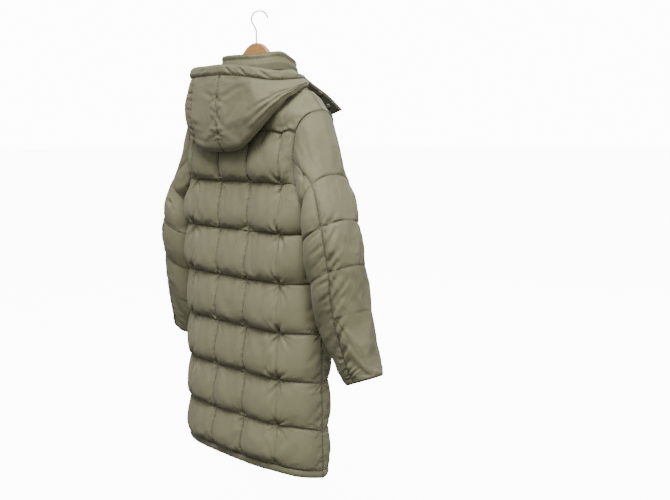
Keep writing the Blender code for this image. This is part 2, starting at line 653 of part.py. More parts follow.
def add_hood_half(side_name, mirror):
    neck, fold, rim, _, bulge = hood_paths(side_name)
    outward = hood_outward(fold, rim)
    lift = unit(neck * np.array([1, 1, 0]) + np.array([0, 0, 0.10]))
    inner, outer = [], []
    for share in (0.0, 0.25, 0.5, 0.75, 0.92):  # inner wall, neck seam to fold
        line = neck + (fold - neck) * share
        inner.append(line + lift * HOOD_INNER_WALL)
        outer.append(line)
    inner.append(fold + np.array([0, 0, 0.004]))
    outer.append(fold - np.array([0, 0, 0.002]))
    for share in (0.08, 0.25, 0.5, 0.75, 1.0):  # outer wall, fold to rim seam
        bow = math.sin(math.pi * share**0.8)
        line = fold + (rim - fold) * share + outward * (bulge * bow)[:, None]
        away = unit(outward * np.array([1, 1, 1 - share]))
        inner.append(line)
        outer.append(line + away * (HOOD_WALL if share < 1 else RIM_SEAM_WALL))
    for i, row in enumerate(outer[:-1]):
        push = clear_of_body(row, HOOD_CLEARANCE)
        outer[i] = row + push
        inner[i] = inner[i] + push
        if i > 5:  # the outer wall stays under the rim
            outer[i][:, 2] = np.minimum(outer[i][:, 2], rim[:, 2] - GAP)
            inner[i][:, 2] = np.minimum(inner[i][:, 2], rim[:, 2] - GAP)
    sheets = [np.stack(inner), np.stack(outer)]
    for sheet in sheets:
        sheet[:, 0, 0] = 0
        hold_half(sheet, 1.0)
        sheet[..., 0] *= mirror
    add_wall(f"hood_{side_name}", sheets[0], sheets[1], materials["shell"])


def add_hood_rim():
    """Turned band along the face opening, one piece from front end to front end."""
    sheets = {}
    for side_name, mirror in (("left", 1), ("right", -1)):
        _, fold, rim, rim_height, _ = hood_paths(side_name)
        level = unit(hood_outward(fold, rim) * np.array([1, 1, 0]))
        inner, outer = [], []
        for height, thickness in ((0.0, 0.0045), (0.3, 0.008), (0.75, 0.008), (1.0, 0.004)):
            rise = np.outer(GAP + rim_height * height, (0, 0, 1))
            line = rim + rise - level * RIM_LEAN * height**2
            inner.append(line)
            outer.append(line + level * thickness)
        sheets[side_name] = np.stack([inner, outer]) * np.array([mirror, 1, 1])
    sheets["left"][:, :, 0, 0] = 0
    both = np.concatenate([sheets["right"][:, :, :0:-1], sheets["left"]], axis=2)
    add_wall("hood_rim", both[0], both[1], materials["shell"])


# ---- throat tabs and snaps -------------------------------------------------------------------
def tab_edges():
    """Upper and lower edge of the left tab, and the way its lining faces."""
    knots = np.arange(len(TAB["top_x"]))
    read = {name: curve_through(knots, values, TAB_PLACES) for name, values in TAB.items()}
    top = np.column_stack([read["top_x"], read["top_y"], -read["top_drop"]])
    low = np.column_stack([read["low_x"], read["low_y"], -read["low_drop"]])
    face = unit(np.cross(top - low, np.gradient(top + low, axis=0)))
    return top, low, face * np.sign(face[:, 1:2])


def tab_place(place, share):
    """Point of the tab's lining and its facing, at a place along it and a share of its width."""
    top, low, face = tab_edges()
    point = curve_through(TAB_PLACES, low + (top - low) * share, place)
    return point, unit(curve_through(TAB_PLACES, face, place))


def add_tab(side_name, mirror):
    top, low, face = tab_edges()
    turn = np.array([mirror, 1, 1])
    lining = np.stack([low + (top - low) * share for share in (0, 0.25, 0.5, 0.75, 1)])
    padded = lining - face * np.array([0.55, 0.95, 1.0, 0.95, 0.55])[:, None, None] * TAB_WALL
    add_wall(f"hood_tab_{side_name}", lining * turn, padded * turn, materials["tab_fabric"])
    for i, (place, share) in enumerate(zip(TAB_SNAPS["place"], TAB_SNAPS["width_share"]), 1):
        point, facing = tab_place(place, share)
        add_snap(f"tab_{side_name}_snap_{i}", point * turn, facing * turn)


def add_snap(name, point, facing):
    """Round snap cap that stands just off the cloth."""
    mesh = bmesh.new()
    rim_height = SNAP_HEIGHT * 0.6
    bmesh.ops.create_cone(
        mesh,
        cap_ends=True,
        segments=12,
        radius1=SNAP_RADIUS,
        radius2=SNAP_RADIUS * 0.94,
        depth=rim_height,
        matrix=Matrix.Translation((0, 0, rim_height / 2)),
    )
    top = [face for face in mesh.faces if face.calc_center_median().z > rim_height * 0.9]
    bmesh.ops.inset_region(mesh, faces=top, thickness=SNAP_RADIUS * 0.25, depth=SNAP_HEIGHT * 0.4)
    data = bpy.data.meshes.new(name)
    mesh.to_mesh(data)
    mesh.free()
    data.shade_smooth()
    data.set_sharp_from_angle(angle=math.radians(40))
    snap = add_object(name, data, materials["snap_metal"])
    snap.location = Vector(point) + Vector(facing) * SNAP_LIFT
    snap.rotation_mode = "QUATERNION"
    snap.rotation_quaternion = Vector(facing).to_track_quat("Z", "Y")


# ---- hanger ----------------------------------------------------------------------------------
def add_hanger_wood():
    """Flat shaped board with rounded edges, a section for each entry of its outline."""
    mesh = bmesh.new()
    table = list(WOOD)
    rings = []
    for x, top, bottom in [(-x, top, bottom) for x, top, bottom in table[:0:-1]] + table:
        half, edge = WOOD_THICKNESS / 2, WOOD_BEVEL
        ring = [(half, -top - edge), (half, edge - bottom), (half - edge, -bottom), (edge - half, -bottom)]
        ring += [(-half, edge - bottom), (-half, -top - edge), (edge - half, -top), (half - edge, -top)]
        rings.append([mesh.verts.new((x, y, z)) for y, z in ring])
    for one, two in zip(rings, rings[1:]):
        for i in range(8):
            mesh.faces.new((one[i], one[i - 1], two[i - 1], two[i]))
    mesh.faces.new(rings[0])
    mesh.faces.new(rings[-1])
    bmesh.ops.recalc_face_normals(mesh, faces=mesh.faces)
    data = bpy.data.meshes.new("hanger_wood")
    mesh.to_mesh(data)
    mesh.free()
    data.shade_smooth()
    data.set_sharp_from_angle(angle=math.radians(50))
    add_object("hanger_wood", data, materials["beech"])


def add_hook():
    """Bent wire: a stem out of the wood, then a hook whose plane is turned from the hanger's."""
    azimuth = math.radians(HOOK_AZIMUTH_DEG)
    right = Vector((math.cos(azimuth), math.sin(azimuth), 0))
    up = Vector((0, 0, 1))
    centre = -Vector(HOOK_OFFSET) - up * (HOOK_RADIUS - WIRE_RADIUS)
    points = [up * -(WOOD[0][1] - GAP), up * -0.062, up * -STEM_TOP_DROP]
    for degree in np.linspace(HOOK_LOWEST_DEG, HOOK_TIP_DEG, 20):
        angle = math.radians(float(degree))
        bend = right * math.cos(angle) + up * math.sin(angle)
        points.append(centre + bend * HOOK_RADIUS)
    curve = bpy.data.curves.new("hanger_hook", "CURVE")
    curve.dimensions = "3D"
    curve.bevel_depth = WIRE_RADIUS
    curve.bevel_resolution = 2
    curve.use_fill_caps = True
    spline = curve.splines.new("POLY")
    spline.points.add(len(points) - 1)
    for point, place in zip(spline.points, points):
        point.co = (*place, 1)
    curve.materials.append(materials["chrome"])
    hook = bpy.data.objects.new("hanger_hook", curve)
    collection.objects.link(hook)
    hook.parent = hang


# ---- build -----------------------------------------------------------------------------------
clear_scene()
materials = make_materials()
collection = bpy.data.collections.new("long_puffer_coat")
bpy.context.scene.collection.children.link(collection)
hang = bpy.data.objects.new("HANG", None)
hang.location = HOOK_OFFSET
collection.objects.link(hang)

all_cells = np.linspace(-2.5, 2.5, 21)
left_cells, right_cells = all_cells[10:], all_cells[:11]
add_body_panel("back", 1, all_cells, ((-1, "left", 1.0), (0, "right", -1.0)))
add_body_panel("front_left", -1, left_cells, ((-1, "left", 1.0),))
add_body_panel("front_right", -1, right_cells, ((0, "right", -1.0),))
add_hem("hem_back", 1, all_cells)
add_hem("hem_front_left", -1, left_cells)
add_hem("hem_front_right", -1, right_cells)
add_placket()
for name, mirror in (("left", 1.0), ("right", -1.0)):
    add_sleeve(name, mirror)
    add_hood_half(name, mirror)
    add_tab(name, mirror)
add_collar()
add_hood_rim()
add_hanger_wood()
add_hook()
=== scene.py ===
# Dressing for a long hooded puffer coat on a wooden hanger.
import math

import bmesh
import bpy
import numpy as np
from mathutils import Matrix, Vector


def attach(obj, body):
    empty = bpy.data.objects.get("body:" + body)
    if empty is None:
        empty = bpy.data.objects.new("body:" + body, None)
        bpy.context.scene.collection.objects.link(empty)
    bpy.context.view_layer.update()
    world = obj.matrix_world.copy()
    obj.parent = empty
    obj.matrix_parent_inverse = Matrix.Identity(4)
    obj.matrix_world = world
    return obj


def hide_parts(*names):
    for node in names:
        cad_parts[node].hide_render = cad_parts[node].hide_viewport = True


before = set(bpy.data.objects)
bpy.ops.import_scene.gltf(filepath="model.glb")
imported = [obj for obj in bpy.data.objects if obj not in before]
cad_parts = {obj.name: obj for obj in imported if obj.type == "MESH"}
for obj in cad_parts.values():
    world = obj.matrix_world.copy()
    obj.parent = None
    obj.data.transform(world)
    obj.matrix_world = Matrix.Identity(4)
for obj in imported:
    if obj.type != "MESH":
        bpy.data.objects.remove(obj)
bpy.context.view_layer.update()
print("frame loaded")

# Everything is worked out about the hanger's stem, then moved to hang from the rail
stemPlace = np.array([0.0058, 0.0064, 0.0])
gap = 0.0003  # between two pieces at a seam
tiny = 1e-9
sideCell, neckCell = 2.5, 0.75  # columns from the centre to the side seam, and to the neck's end
underarm, wholeArm = 11, 22  # places counted round an armhole from the shoulder, first down its back
elbowPlace, frontPlace = 6, 16  # where a sleeve's two seams meet the armhole

coat = {
    "cell": 0.12,
    "wall": 0.0025,
    "puff": 0.022,
    "yokePuff": 0.013,
    "shoulderPuff": 0.008,
    "sleevePuff": 0.012,
    "sideDip": 0.017,
    "armEdge": 0.0042,
    "hemWall": 0.003,
    "hemHeight": 0.019,
    "placket": 0.058,
    "slant": 0.0007,  # how far a seam between two panels leans, so that it shuts
    "seamDrops": (0.305, 0.430, 0.550, 0.671, 0.7915, 0.9076, 1.0202, 1.1175),
}
halfCell = coat["cell"] / 2
bodySections = {
    "drop": (0.305, 0.430, 0.475, 0.550, 0.671, 0.7915, 0.9076, 1.0202, 1.1175),
    "halfWidth": (0.262, 0.245, 0.238, 0.235, 0.241, 0.247, 0.248, 0.249, 0.252),
    "back": (0.066, 0.066, 0.068, 0.073, 0.079, 0.083, 0.088, 0.094, 0.100),
    "front": (0.066, 0.064, 0.062, 0.060, 0.055, 0.052, 0.051, 0.051, 0.052),
    "squareness": (4.0, 5.0, 5.6, 5.6, 4.2, 3.5, 3.2, 3.0, 3.0),
}
armholeCut = {
    "row": (1.0, 1.25, 1.5, 1.75, 2.0, 2.125, 2.25, 2.375),
    "reach": (0.745, 0.735, 0.735, 0.75, 0.78, 0.83, 0.90, 1.0),
}
shoulder = {"x": (0.0907, 0.150, 0.180, 0.216, 0.249), "drop": (0.174, 0.190, 0.2035, 0.2205, 0.2525)}
neck = {
    "halfWidth": 0.092,
    "halfDepth": 0.080,
    "centreY": -0.0135,
    "sideX": 0.0907,
    "nape": 0.180,
    "throat": 0.215,
}
pressed = {
    "row": (0.0, 1.0, 2.0, 3.5, 4.5, 8.0),
    "corner": (0.9, 0.85, 0.8, 0.76, 0.47, 0.38),
    "side": (0.5, 0.3, -0.4, 0.0, 0.25, 0.25),
}


def curveThrough(knots, values, at):
    # a smooth curve through the values at the knots, read at other places
    knots, values = np.asarray(knots, float), np.asarray(values, float)
    at = np.clip(np.asarray(at, float), knots[0], knots[-1])
    slopes = np.gradient(values, knots, axis=0)
    i = np.clip(np.searchsorted(knots, at, side="right") - 1, 0, len(knots) - 2)
    step = knots[i + 1] - knots[i]
    u = (at - knots[i]) / step
    tail = (1,) * (values.ndim - 1)
    u, step = u.reshape(u.shape + tail), step.reshape(step.shape + tail)
    start, end = values[i], values[i + 1]
    bend = (u**3 - 2 * u**2 + u) * step * slopes[i] + (u**3 - u**2) * step * slopes[i + 1]
    return (2 * u**3 - 3 * u**2 + 1) * start + (3 * u**2 - 2 * u**3) * end + bend


def softStep(share):
    share = np.clip(share, 0, 1)
    return share * share * (3 - 2 * share)


def unit(vectors):
    return vectors / np.maximum(np.linalg.norm(vectors, axis=-1, keepdims=True), 1e-12)


def runLength(line):
    # how far along a line of points each one lies
    return np.concatenate([[0], np.cumsum(np.linalg.norm(np.diff(line, axis=0), axis=1))])


def fromSeam(places):
    # distance to the nearest seam, in columns or rows
    return np.abs(places - np.round(places))


def keptOff(values, side):
    # holds values on their own side of the plane where two panels meet
    return np.maximum(values * side, gap / 2) * side


def gridFacing(grid):
    # the way each point of a grid faces, by the order of its rows and columns
    return np.cross(np.gradient(grid, axis=1), np.gradient(grid, axis=0))


def gridNormals(grid, towards):
    normal = unit(gridFacing(grid))
    return normal if (normal * towards).sum(-1).mean() > 0 else -normal


def uneven(x, y, size, seed):
    # smooth unevenness from -1 to 1 over two coordinates in metres
    table = np.random.default_rng(seed).uniform(-1, 1, (97, 97))
    x, y = np.asarray(x) / size + 31.7, np.asarray(y) / size + 29.3
    i, j = np.floor(x).astype(int), np.floor(y).astype(int)
    u, v = softStep(x - i), softStep(y - j)
    i, j, iNext, jNext = i % 97, j % 97, (i + 1) % 97, (j + 1) % 97
    low = table[i, j] * (1 - u) + table[iNext, j] * u
    high = table[i, jNext] * (1 - u) + table[iNext, jNext] * u
    return low * (1 - v) + high * v


def creaseDepth(x, y, creases, ridge=0.002):
    # soft troughs with a low ridge at each side: start, end, depth, width, and whether it starts abruptly
    depth = np.zeros(np.shape(x))
    for x0, y0, x1, y1, deep, width, abrupt in creases:
        run = np.array([x1 - x0, y1 - y0])
        length = np.hypot(*run)
        along = ((x - x0) * run[0] + (y - y0) * run[1]) / length**2
        across = ((x - x0) * run[1] - (y - y0) * run[0]) / length
        bow = across + 0.06 * length * np.sin(math.pi * np.clip(along, 0, 1))
        taper = softStep((1 - along) / 0.75) * softStep((along + 0.02) / (0.04 if abrupt else 0.4))
        beside = np.exp(-(((np.abs(bow) - 1.9 * width) / width) ** 2))
        depth += deep * (np.exp(-((bow / width) ** 2)) - 0.45 * beside) * taper
    return depth.clip(-ridge)


def starCreases(x, y, turns, reach, deep, seed):
    # short creases that run out of one sewn point
    roll = np.random.default_rng(seed)
    creases = []
    for turn in turns:
        angle = math.radians(turn + roll.uniform(-9, 9))
        length = reach * roll.uniform(0.55, 1.15)
        end = (x + length * math.cos(angle), y + length * math.sin(angle))
        creases.append((x, y, *end, deep * roll.uniform(0.6, 1.2), 0.0028 + 0.035 * length, True))
    return creases


def bodySection(drop, side, cells, edge=1.0):
    # one level of the body, half round, at columns counted from the centre of its back or front
    width, depth, squareness = (
        curveThrough(bodySections["drop"], bodySections[name], drop)
        for name in ("halfWidth", "back" if side > 0 else "front", "squareness")
    )
    power = 2 / squareness
    turn = np.linspace(0, math.pi, 721)
    x = -np.sign(np.cos(turn)) * np.abs(np.cos(turn)) ** power * width
    y = np.sin(turn).clip(0) ** power * depth
    length = np.concatenate([[0], np.cumsum(np.hypot(np.diff(x), np.diff(y)))])
    size = np.abs(cells)
    straight = np.interp(coat["cell"] * np.minimum(size, 1.5), x, length)
    last = np.interp(1.5 * coat["cell"], x, length)
    at = straight + (length[-1] / 2 * (1 + edge) - last) * (size - 1.5).clip(0)
    low = ((-cells - 1.4) / 1.1).clip(0) ** 1.6 * softStep((drop - 0.70) / 0.42)
    z = -drop - coat["sideDip"] * low
    across = np.sign(cells) * np.interp(at, length, x)
    return np.column_stack([across, side * np.interp(at, length, y), z])


def neckTurn(share, side):
    # angle round the neck from its centre, behind or before, to the shoulder seam
    past = math.acos(-neck["centreY"] / neck["halfDepth"])
    return past * share if side > 0 else math.pi + (past - math.pi) * share


def neckDrop(x, side):
    # depth of the neckline and the shoulder seam under the rail
    share = np.clip(np.abs(x) / neck["sideX"], 0, 1)
    centre = neck["nape"] if side > 0 else neck["throat"]
    neckline = shoulder["drop"][0] + (centre - shoulder["drop"][0]) * np.cos(share * math.pi / 2)
    return np.where(share < 1, neckline, curveThrough(shoulder["x"], shoulder["drop"], np.abs(x)))


def bodyRow(row, side, cells):
    # one row of the quilting, where row 0 is the neckline and shoulder seam and row 8 the hem seam
    edge = float(np.interp(row, armholeCut["row"], armholeCut["reach"]))
    if row >= 1:
        return bodySection(float(np.interp(row, range(1, 9), coat["seamDrops"])), side, cells, edge)
    size, first = np.abs(cells), coat["seamDrops"][0]
    low = bodySection(first, side, cells, edge)
    turn = neckTurn(np.clip(size / neckCell, 0, 1), side)
    beyond = np.interp(size, (neckCell, 1.5, sideCell), (neck["sideX"], 0.165, shoulder["x"][-1]))
    topX = np.sign(cells) * np.where(size < neckCell, neck["halfWidth"] * np.sin(turn), beyond)
    topY = np.where(size < neckCell, neck["centreY"] + neck["halfDepth"] * np.cos(turn), 0.0)
    topDrop = neckDrop(topX, side)
    rise = 1 - row
    over = np.clip(np.abs(topX) / neck["sideX"], 0, 1) ** 2
    yShare = (1 - over) * (1 - rise) + over * math.cos(rise * math.pi / 2)
    zShare = (1 - over) * rise + over * math.sin(rise * math.pi / 2)
    x = low[:, 0] + (topX - low[:, 0]) * rise
    return np.column_stack([x, topY + (low[:, 1] - topY) * yShare, -first + (first - topDrop) * zShare])


def bodyGrid(side, rows, cells):
    return np.stack([bodyRow(row, side, cells) for row in rows])


def bodyNormals(grid, side, rows, cells):
    # normals of a body grid, level with the plane of its side and shoulder seams
    atSide = (rows >= armRows[-1] - tiny)[:, None] & (np.abs(cells) == sideCell)
    onShoulder = (rows == 0)[:, None] & (np.abs(cells) >= neckCell)
    normal = gridNormals(grid, (0.0, side, 0.0))
    normal[atSide | onShoulder, 1] = 0
    return unit(normal)


def rowSwell(t, low=1.22, blunt=0.72):
    # the form of a filled row from seam to seam: round below, with the filling settled low
    return np.sin(math.pi * np.clip(t, 0, 1) ** low).clip(0) ** blunt


plainRow = (1.12, 0.6)  # the two powers of a row's plain form


def spaced(count):
    # places from 0 to 1 that crowd towards the seams at both ends
    t = np.arange(count) / count
    return t - 0.5 * np.sin(2 * math.pi * t) / (2 * math.pi)


def pressedFilling(size, rows, swell, puff, seam, raised=0.0):
    # the filling's height, with the ridge of the shoulder, and flatter towards the side seams
    height = swell * np.where(rows < 1, coat["yokePuff"], puff)
    ridge = coat["shoulderPuff"] * softStep((size - neckCell) / 0.4) * softStep(1 - 2 * rows)
    corner = np.interp(rows, pressed["row"], pressed["corner"])
    atSide = np.interp(rows, pressed["row"], pressed["side"]) + raised
    share = 1 + (corner - 1) * softStep((size - 1.2) / 0.8)
    share = share + (atSide - corner) * softStep((size - 1.9) / 0.6)
    return np.maximum(height, ridge) * np.where(rows < 1, 1.0, seam) * share.clip(0)


def cellHeight(cells, rows):
    # height of the cells in their plain form
    size = np.abs(cells)
    seam = 1 - 0.5 * np.clip(1 - fromSeam(size - 0.5) / 0.4, 0, 1) ** 1.3
    return pressedFilling(size, rows, rowSwell(rows % 1, *plainRow), coat["puff"], seam)


def slackSeam(size, rows):
    # below the second row seam the outer column seams show little between their crossings
    outerOnes = softStep((size - 1.1) / 0.2) * softStep((2.1 - size) / 0.2)
    return outerOnes * softStep((rows - 1.9) / 0.3) * softStep((fromSeam(rows) - 0.06) / 0.25)


def puffedHeight(cells, rows):
    # height of the filled cells over the cloth's wall, with narrow grooves down the column seams
    size = np.abs(cells)
    within = fromSeam(size - 0.5)
    groove = 0.24 * np.exp(-within / 0.045) + 0.20 * np.clip(1 - within / 0.42, 0, 1) ** 2
    groove = 1 - groove * (1 - 0.6 * slackSeam(size, rows))
    atCorner = np.exp(-((within / 0.17) ** 2) - (fromSeam(rows) / 0.22) ** 2)
    seam, puff = groove * (1 - 0.45 * atCorner), coat["puff"] * bodyLook["fuller"]
    raised = 0.16 * np.exp(-((rows - 1.2) ** 2) / 0.4)
    return pressedFilling(size, rows, rowSwell(rows % 1), puff, seam, raised)


armRows = np.array([i / 4 for i in range(9)] + [2.125, 2.25, 2.375])


def armholeLoop(params):
    # points and body normals round the left armhole
    cells = np.linspace(-sideCell, sideCell, 21)
    points, normals = np.zeros((len(params), 3)), np.zeros((len(params), 3))
    ends, behind = [], params <= underarm
    for side, chosen, away in ((1, behind, params), (-1, ~behind, wholeArm - params)):
        rows = np.interp(away[chosen], range(12), armRows)
        order = np.argsort(rows)
        every = np.unique(np.concatenate([rows, armRows]))
        grid = bodyGrid(side, every, cells)
        normal = bodyNormals(grid, side, every, cells)
        at = np.searchsorted(every, rows[order] - tiny)
        index = np.flatnonzero(chosen)[order]
        points[index], normals[index] = grid[at, -1], normal[at, -1]
        ends.append(normal[[0, -1], -1])
    for i, param in enumerate((0, underarm)):
        at = np.flatnonzero(params == param)
        points[at, 1] = 0
        normals[at] = unit(ends[0][i] + ends[1][i])
    return points, normals


def gridQuads(rows, columns):
    # the numbers of a grid's points, and its four-cornered faces
    index = np.arange(rows * columns).reshape(rows, columns)
    corners = (index[:-1, :-1], index[:-1, 1:], index[1:, 1:], index[1:, :-1])
    return index, np.stack(corners, -1).reshape(-1, 4)


def linked(name, data):
    made = bpy.data.objects.new(name, data)
    bpy.context.scene.collection.objects.link(made)
    return made


def uvLayer(mesh, name, values):
    layer = mesh.uv_layers.new(name=name)
    loops = np.zeros(len(mesh.loops), int)
    mesh.loops.foreach_get("vertex_index", loops)
    layer.data.foreach_set("uv", values[loops].ravel())


def borderPlaces(grid):
    # how far each point is from the nearest edge of its panel, and how far along
    down = np.cumsum(np.linalg.norm(np.diff(grid, axis=0, prepend=grid[:1]), axis=-1), axis=0)
    across = np.cumsum(np.linalg.norm(np.diff(grid, axis=1, prepend=grid[:, :1]), axis=-1), axis=1)
    ends, sides = np.minimum(down, down[-1:] - down), np.minimum(across, across[:, -1:] - across)
    return np.stack([np.minimum(ends, sides), np.where(ends < sides, across, down)], -1)


def sewnWall(name, inner, outer, quilt, materials, node, rolledRows=0):
    # two grids of points sewn round their edge; quilt gives each point's place on the quilting, and
    # rolledRows is how many rows of the lining side are the shell's cloth turned over the edge
    index, quads = gridQuads(*outer.shape[:2])
    count = index.size
    rim = np.concatenate([index[0, :-1], index[:-1, -1], index[-1, :0:-1], index[:0:-1, 0]])
    after = np.roll(rim, -1)
    edge = np.stack([after, rim, rim + count, after + count], -1)
    faces = np.concatenate([quads, quads[:, ::-1] + count, edge])
    points = np.concatenate([outer.reshape(-1, 3), inner.reshape(-1, 3)]) + stemPlace
    mesh = bpy.data.meshes.new(name)
    mesh.from_pydata(points, [], faces.tolist())
    mesh.validate()
    work = bmesh.new()
    work.from_mesh(mesh)
    bmesh.ops.recalc_face_normals(work, faces=work.faces)
    work.to_mesh(mesh)
    work.free()
    uvLayer(mesh, "quilt", np.tile(quilt.reshape(-1, 2), (2, 1)))
    uvLayer(mesh, "border", np.tile(borderPlaces(outer).reshape(-1, 2), (2, 1)))
    for material in materials:
        mesh.materials.append(material)
    if len(materials) > 1:
        slots = np.zeros(len(mesh.polygons), np.int32)
        slots[len(quads) : 2 * len(quads) - rolledRows * (index.shape[1] - 1)] = 1
        mesh.polygons.foreach_set("material_index", slots)
    mesh.shade_smooth()
    mesh.set_sharp_from_angle(angle=math.radians(70))
    piece = linked(name, mesh)
    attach(piece, "root")
    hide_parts(node)
    return piece


def puffOut(name, start, pinned, sign, settings, share):
    # cloth blown up between its seams, and the given share of the way to it from the starting points
    pinned[[0, -1]] = pinned[:, [0, -1]] = True
    quads = gridQuads(*start.shape[:2])[1][:, ::sign]
    mesh = bpy.data.meshes.new(name)
    mesh.from_pydata(start.reshape(-1, 3), [], quads.tolist())
    cloth = linked(name, mesh)
    group = cloth.vertex_groups.new(name="sewn")
    group.add(np.flatnonzero(pinned.ravel()).tolist(), 1.0, "REPLACE")
    modifier = cloth.modifiers.new("cloth", "CLOTH")
    values = modifier.settings
    values.quality = 5
    values.mass = 0.15
    values.tension_stiffness = values.compression_stiffness = 12
    values.shear_stiffness = 4
    values.bending_stiffness = settings["bending"]
    values.tension_damping = values.compression_damping = 4
    values.air_damping = 1.5
    values.use_pressure = True
    values.uniform_pressure_force = settings["pressure"]
    values.shrink_min = -settings["spare"]
    values.vertex_group_mass = "sewn"
    values.effector_weights.gravity = settings["sag"]
    modifier.collision_settings.use_collision = False
    modifier.point_cache.frame_start, modifier.point_cache.frame_end = 1, settings["frames"]
    for step in range(1, settings["frames"] + 1):
        bpy.context.scene.frame_set(step)
    settled = cloth.evaluated_get(bpy.context.evaluated_depsgraph_get()).data
    points = np.zeros(start.size)
    settled.vertices.foreach_get("co", points)
    bpy.context.scene.frame_set(1)
    bpy.data.objects.remove(cloth, do_unlink=True)
    return start + (points.reshape(start.shape) - start) * share


def heldWithin(points, base, normal, low, high):
    # keeps the cloth's height over its base between two limits
    height = ((points - base) * normal).sum(-1)
    over = np.maximum(height - high, 0)
    return points + normal * (np.maximum(low - height, 0) - over * 0.85)[..., None]


def setInputs(node, values):
    for name, value in values.items():
        node.inputs[name].default_value = value
    return node


def newMaterial(name, values):
    material = bpy.data.materials.new(name)
    material.use_nodes = True
    nodes = material.node_tree.nodes
    return material, nodes, material.node_tree.links, setInputs(nodes["Principled BSDF"], values)


def colourMix(nodes, values):
    mix = nodes.new("ShaderNodeMix")
    mix.data_type = "RGBA"
    return setInputs(mix, values)


def noiseFrom(nodes, links, place, values):
    noise = setInputs(nodes.new("ShaderNodeTexNoise"), values)
    links.new(place, noise.inputs["Vector"])
    return noise.outputs[0]


def bumpFrom(nodes, links, height, strength, depth, below=None):
    bump = setInputs(nodes.new("ShaderNodeBump"), {"Strength": abs(strength), "Distance": depth})
    bump.invert = strength < 0
    links.new(height, bump.inputs["Height"])
    if below:
        links.new(below, bump.inputs["Normal"])
    return bump.outputs[0]


def splitMap(nodes, links, name):
    place, split = nodes.new("ShaderNodeUVMap"), nodes.new("ShaderNodeSeparateXYZ")
    place.uv_map = name
    links.new(place.outputs[0], split.inputs[0])
    return split.outputs[0], split.outputs[1]


def shaderGroup(name, outputs, inputs=()):
    group = bpy.data.node_groups.new(name, "ShaderNodeTree")
    for way, sockets in (("INPUT", inputs), ("OUTPUT", outputs)):
        for socket in sockets:
            group.interface.new_socket(socket, in_out=way, socket_type="NodeSocketFloat")
    return group, group.nodes, group.links, group.nodes.new("NodeGroupOutput")


def mathNode(nodes, links, operation, first, second=None, third=None):
    node = nodes.new("ShaderNodeMath")
    node.operation = operation
    for socket, value in zip(node.inputs, (first, second, third)):
        if isinstance(value, (int, float)):
            socket.default_value = value
        elif value is not None:
            links.new(value, socket)
    return node.outputs[0]


# the sockets of the seams' node group, and where a cloth's look gives their values
seamSockets = {
    "Row Seams": "rows",
    "Column Seams": "columns",
    "Row End": "rowEnd",
    "Column Start": "columnStart",
    "Column End": "columnEnd",
}


seamLook = {
    "stitches": 300.0,  # for each metre of seam
    "stitchShare": 0.7,
    "threadWidth": 0.0005,
    "slackFade": -70.0,
    "slackShare": 0.75,
    "fanFade": -48.0,
    "fanDepth": 3.2,
}


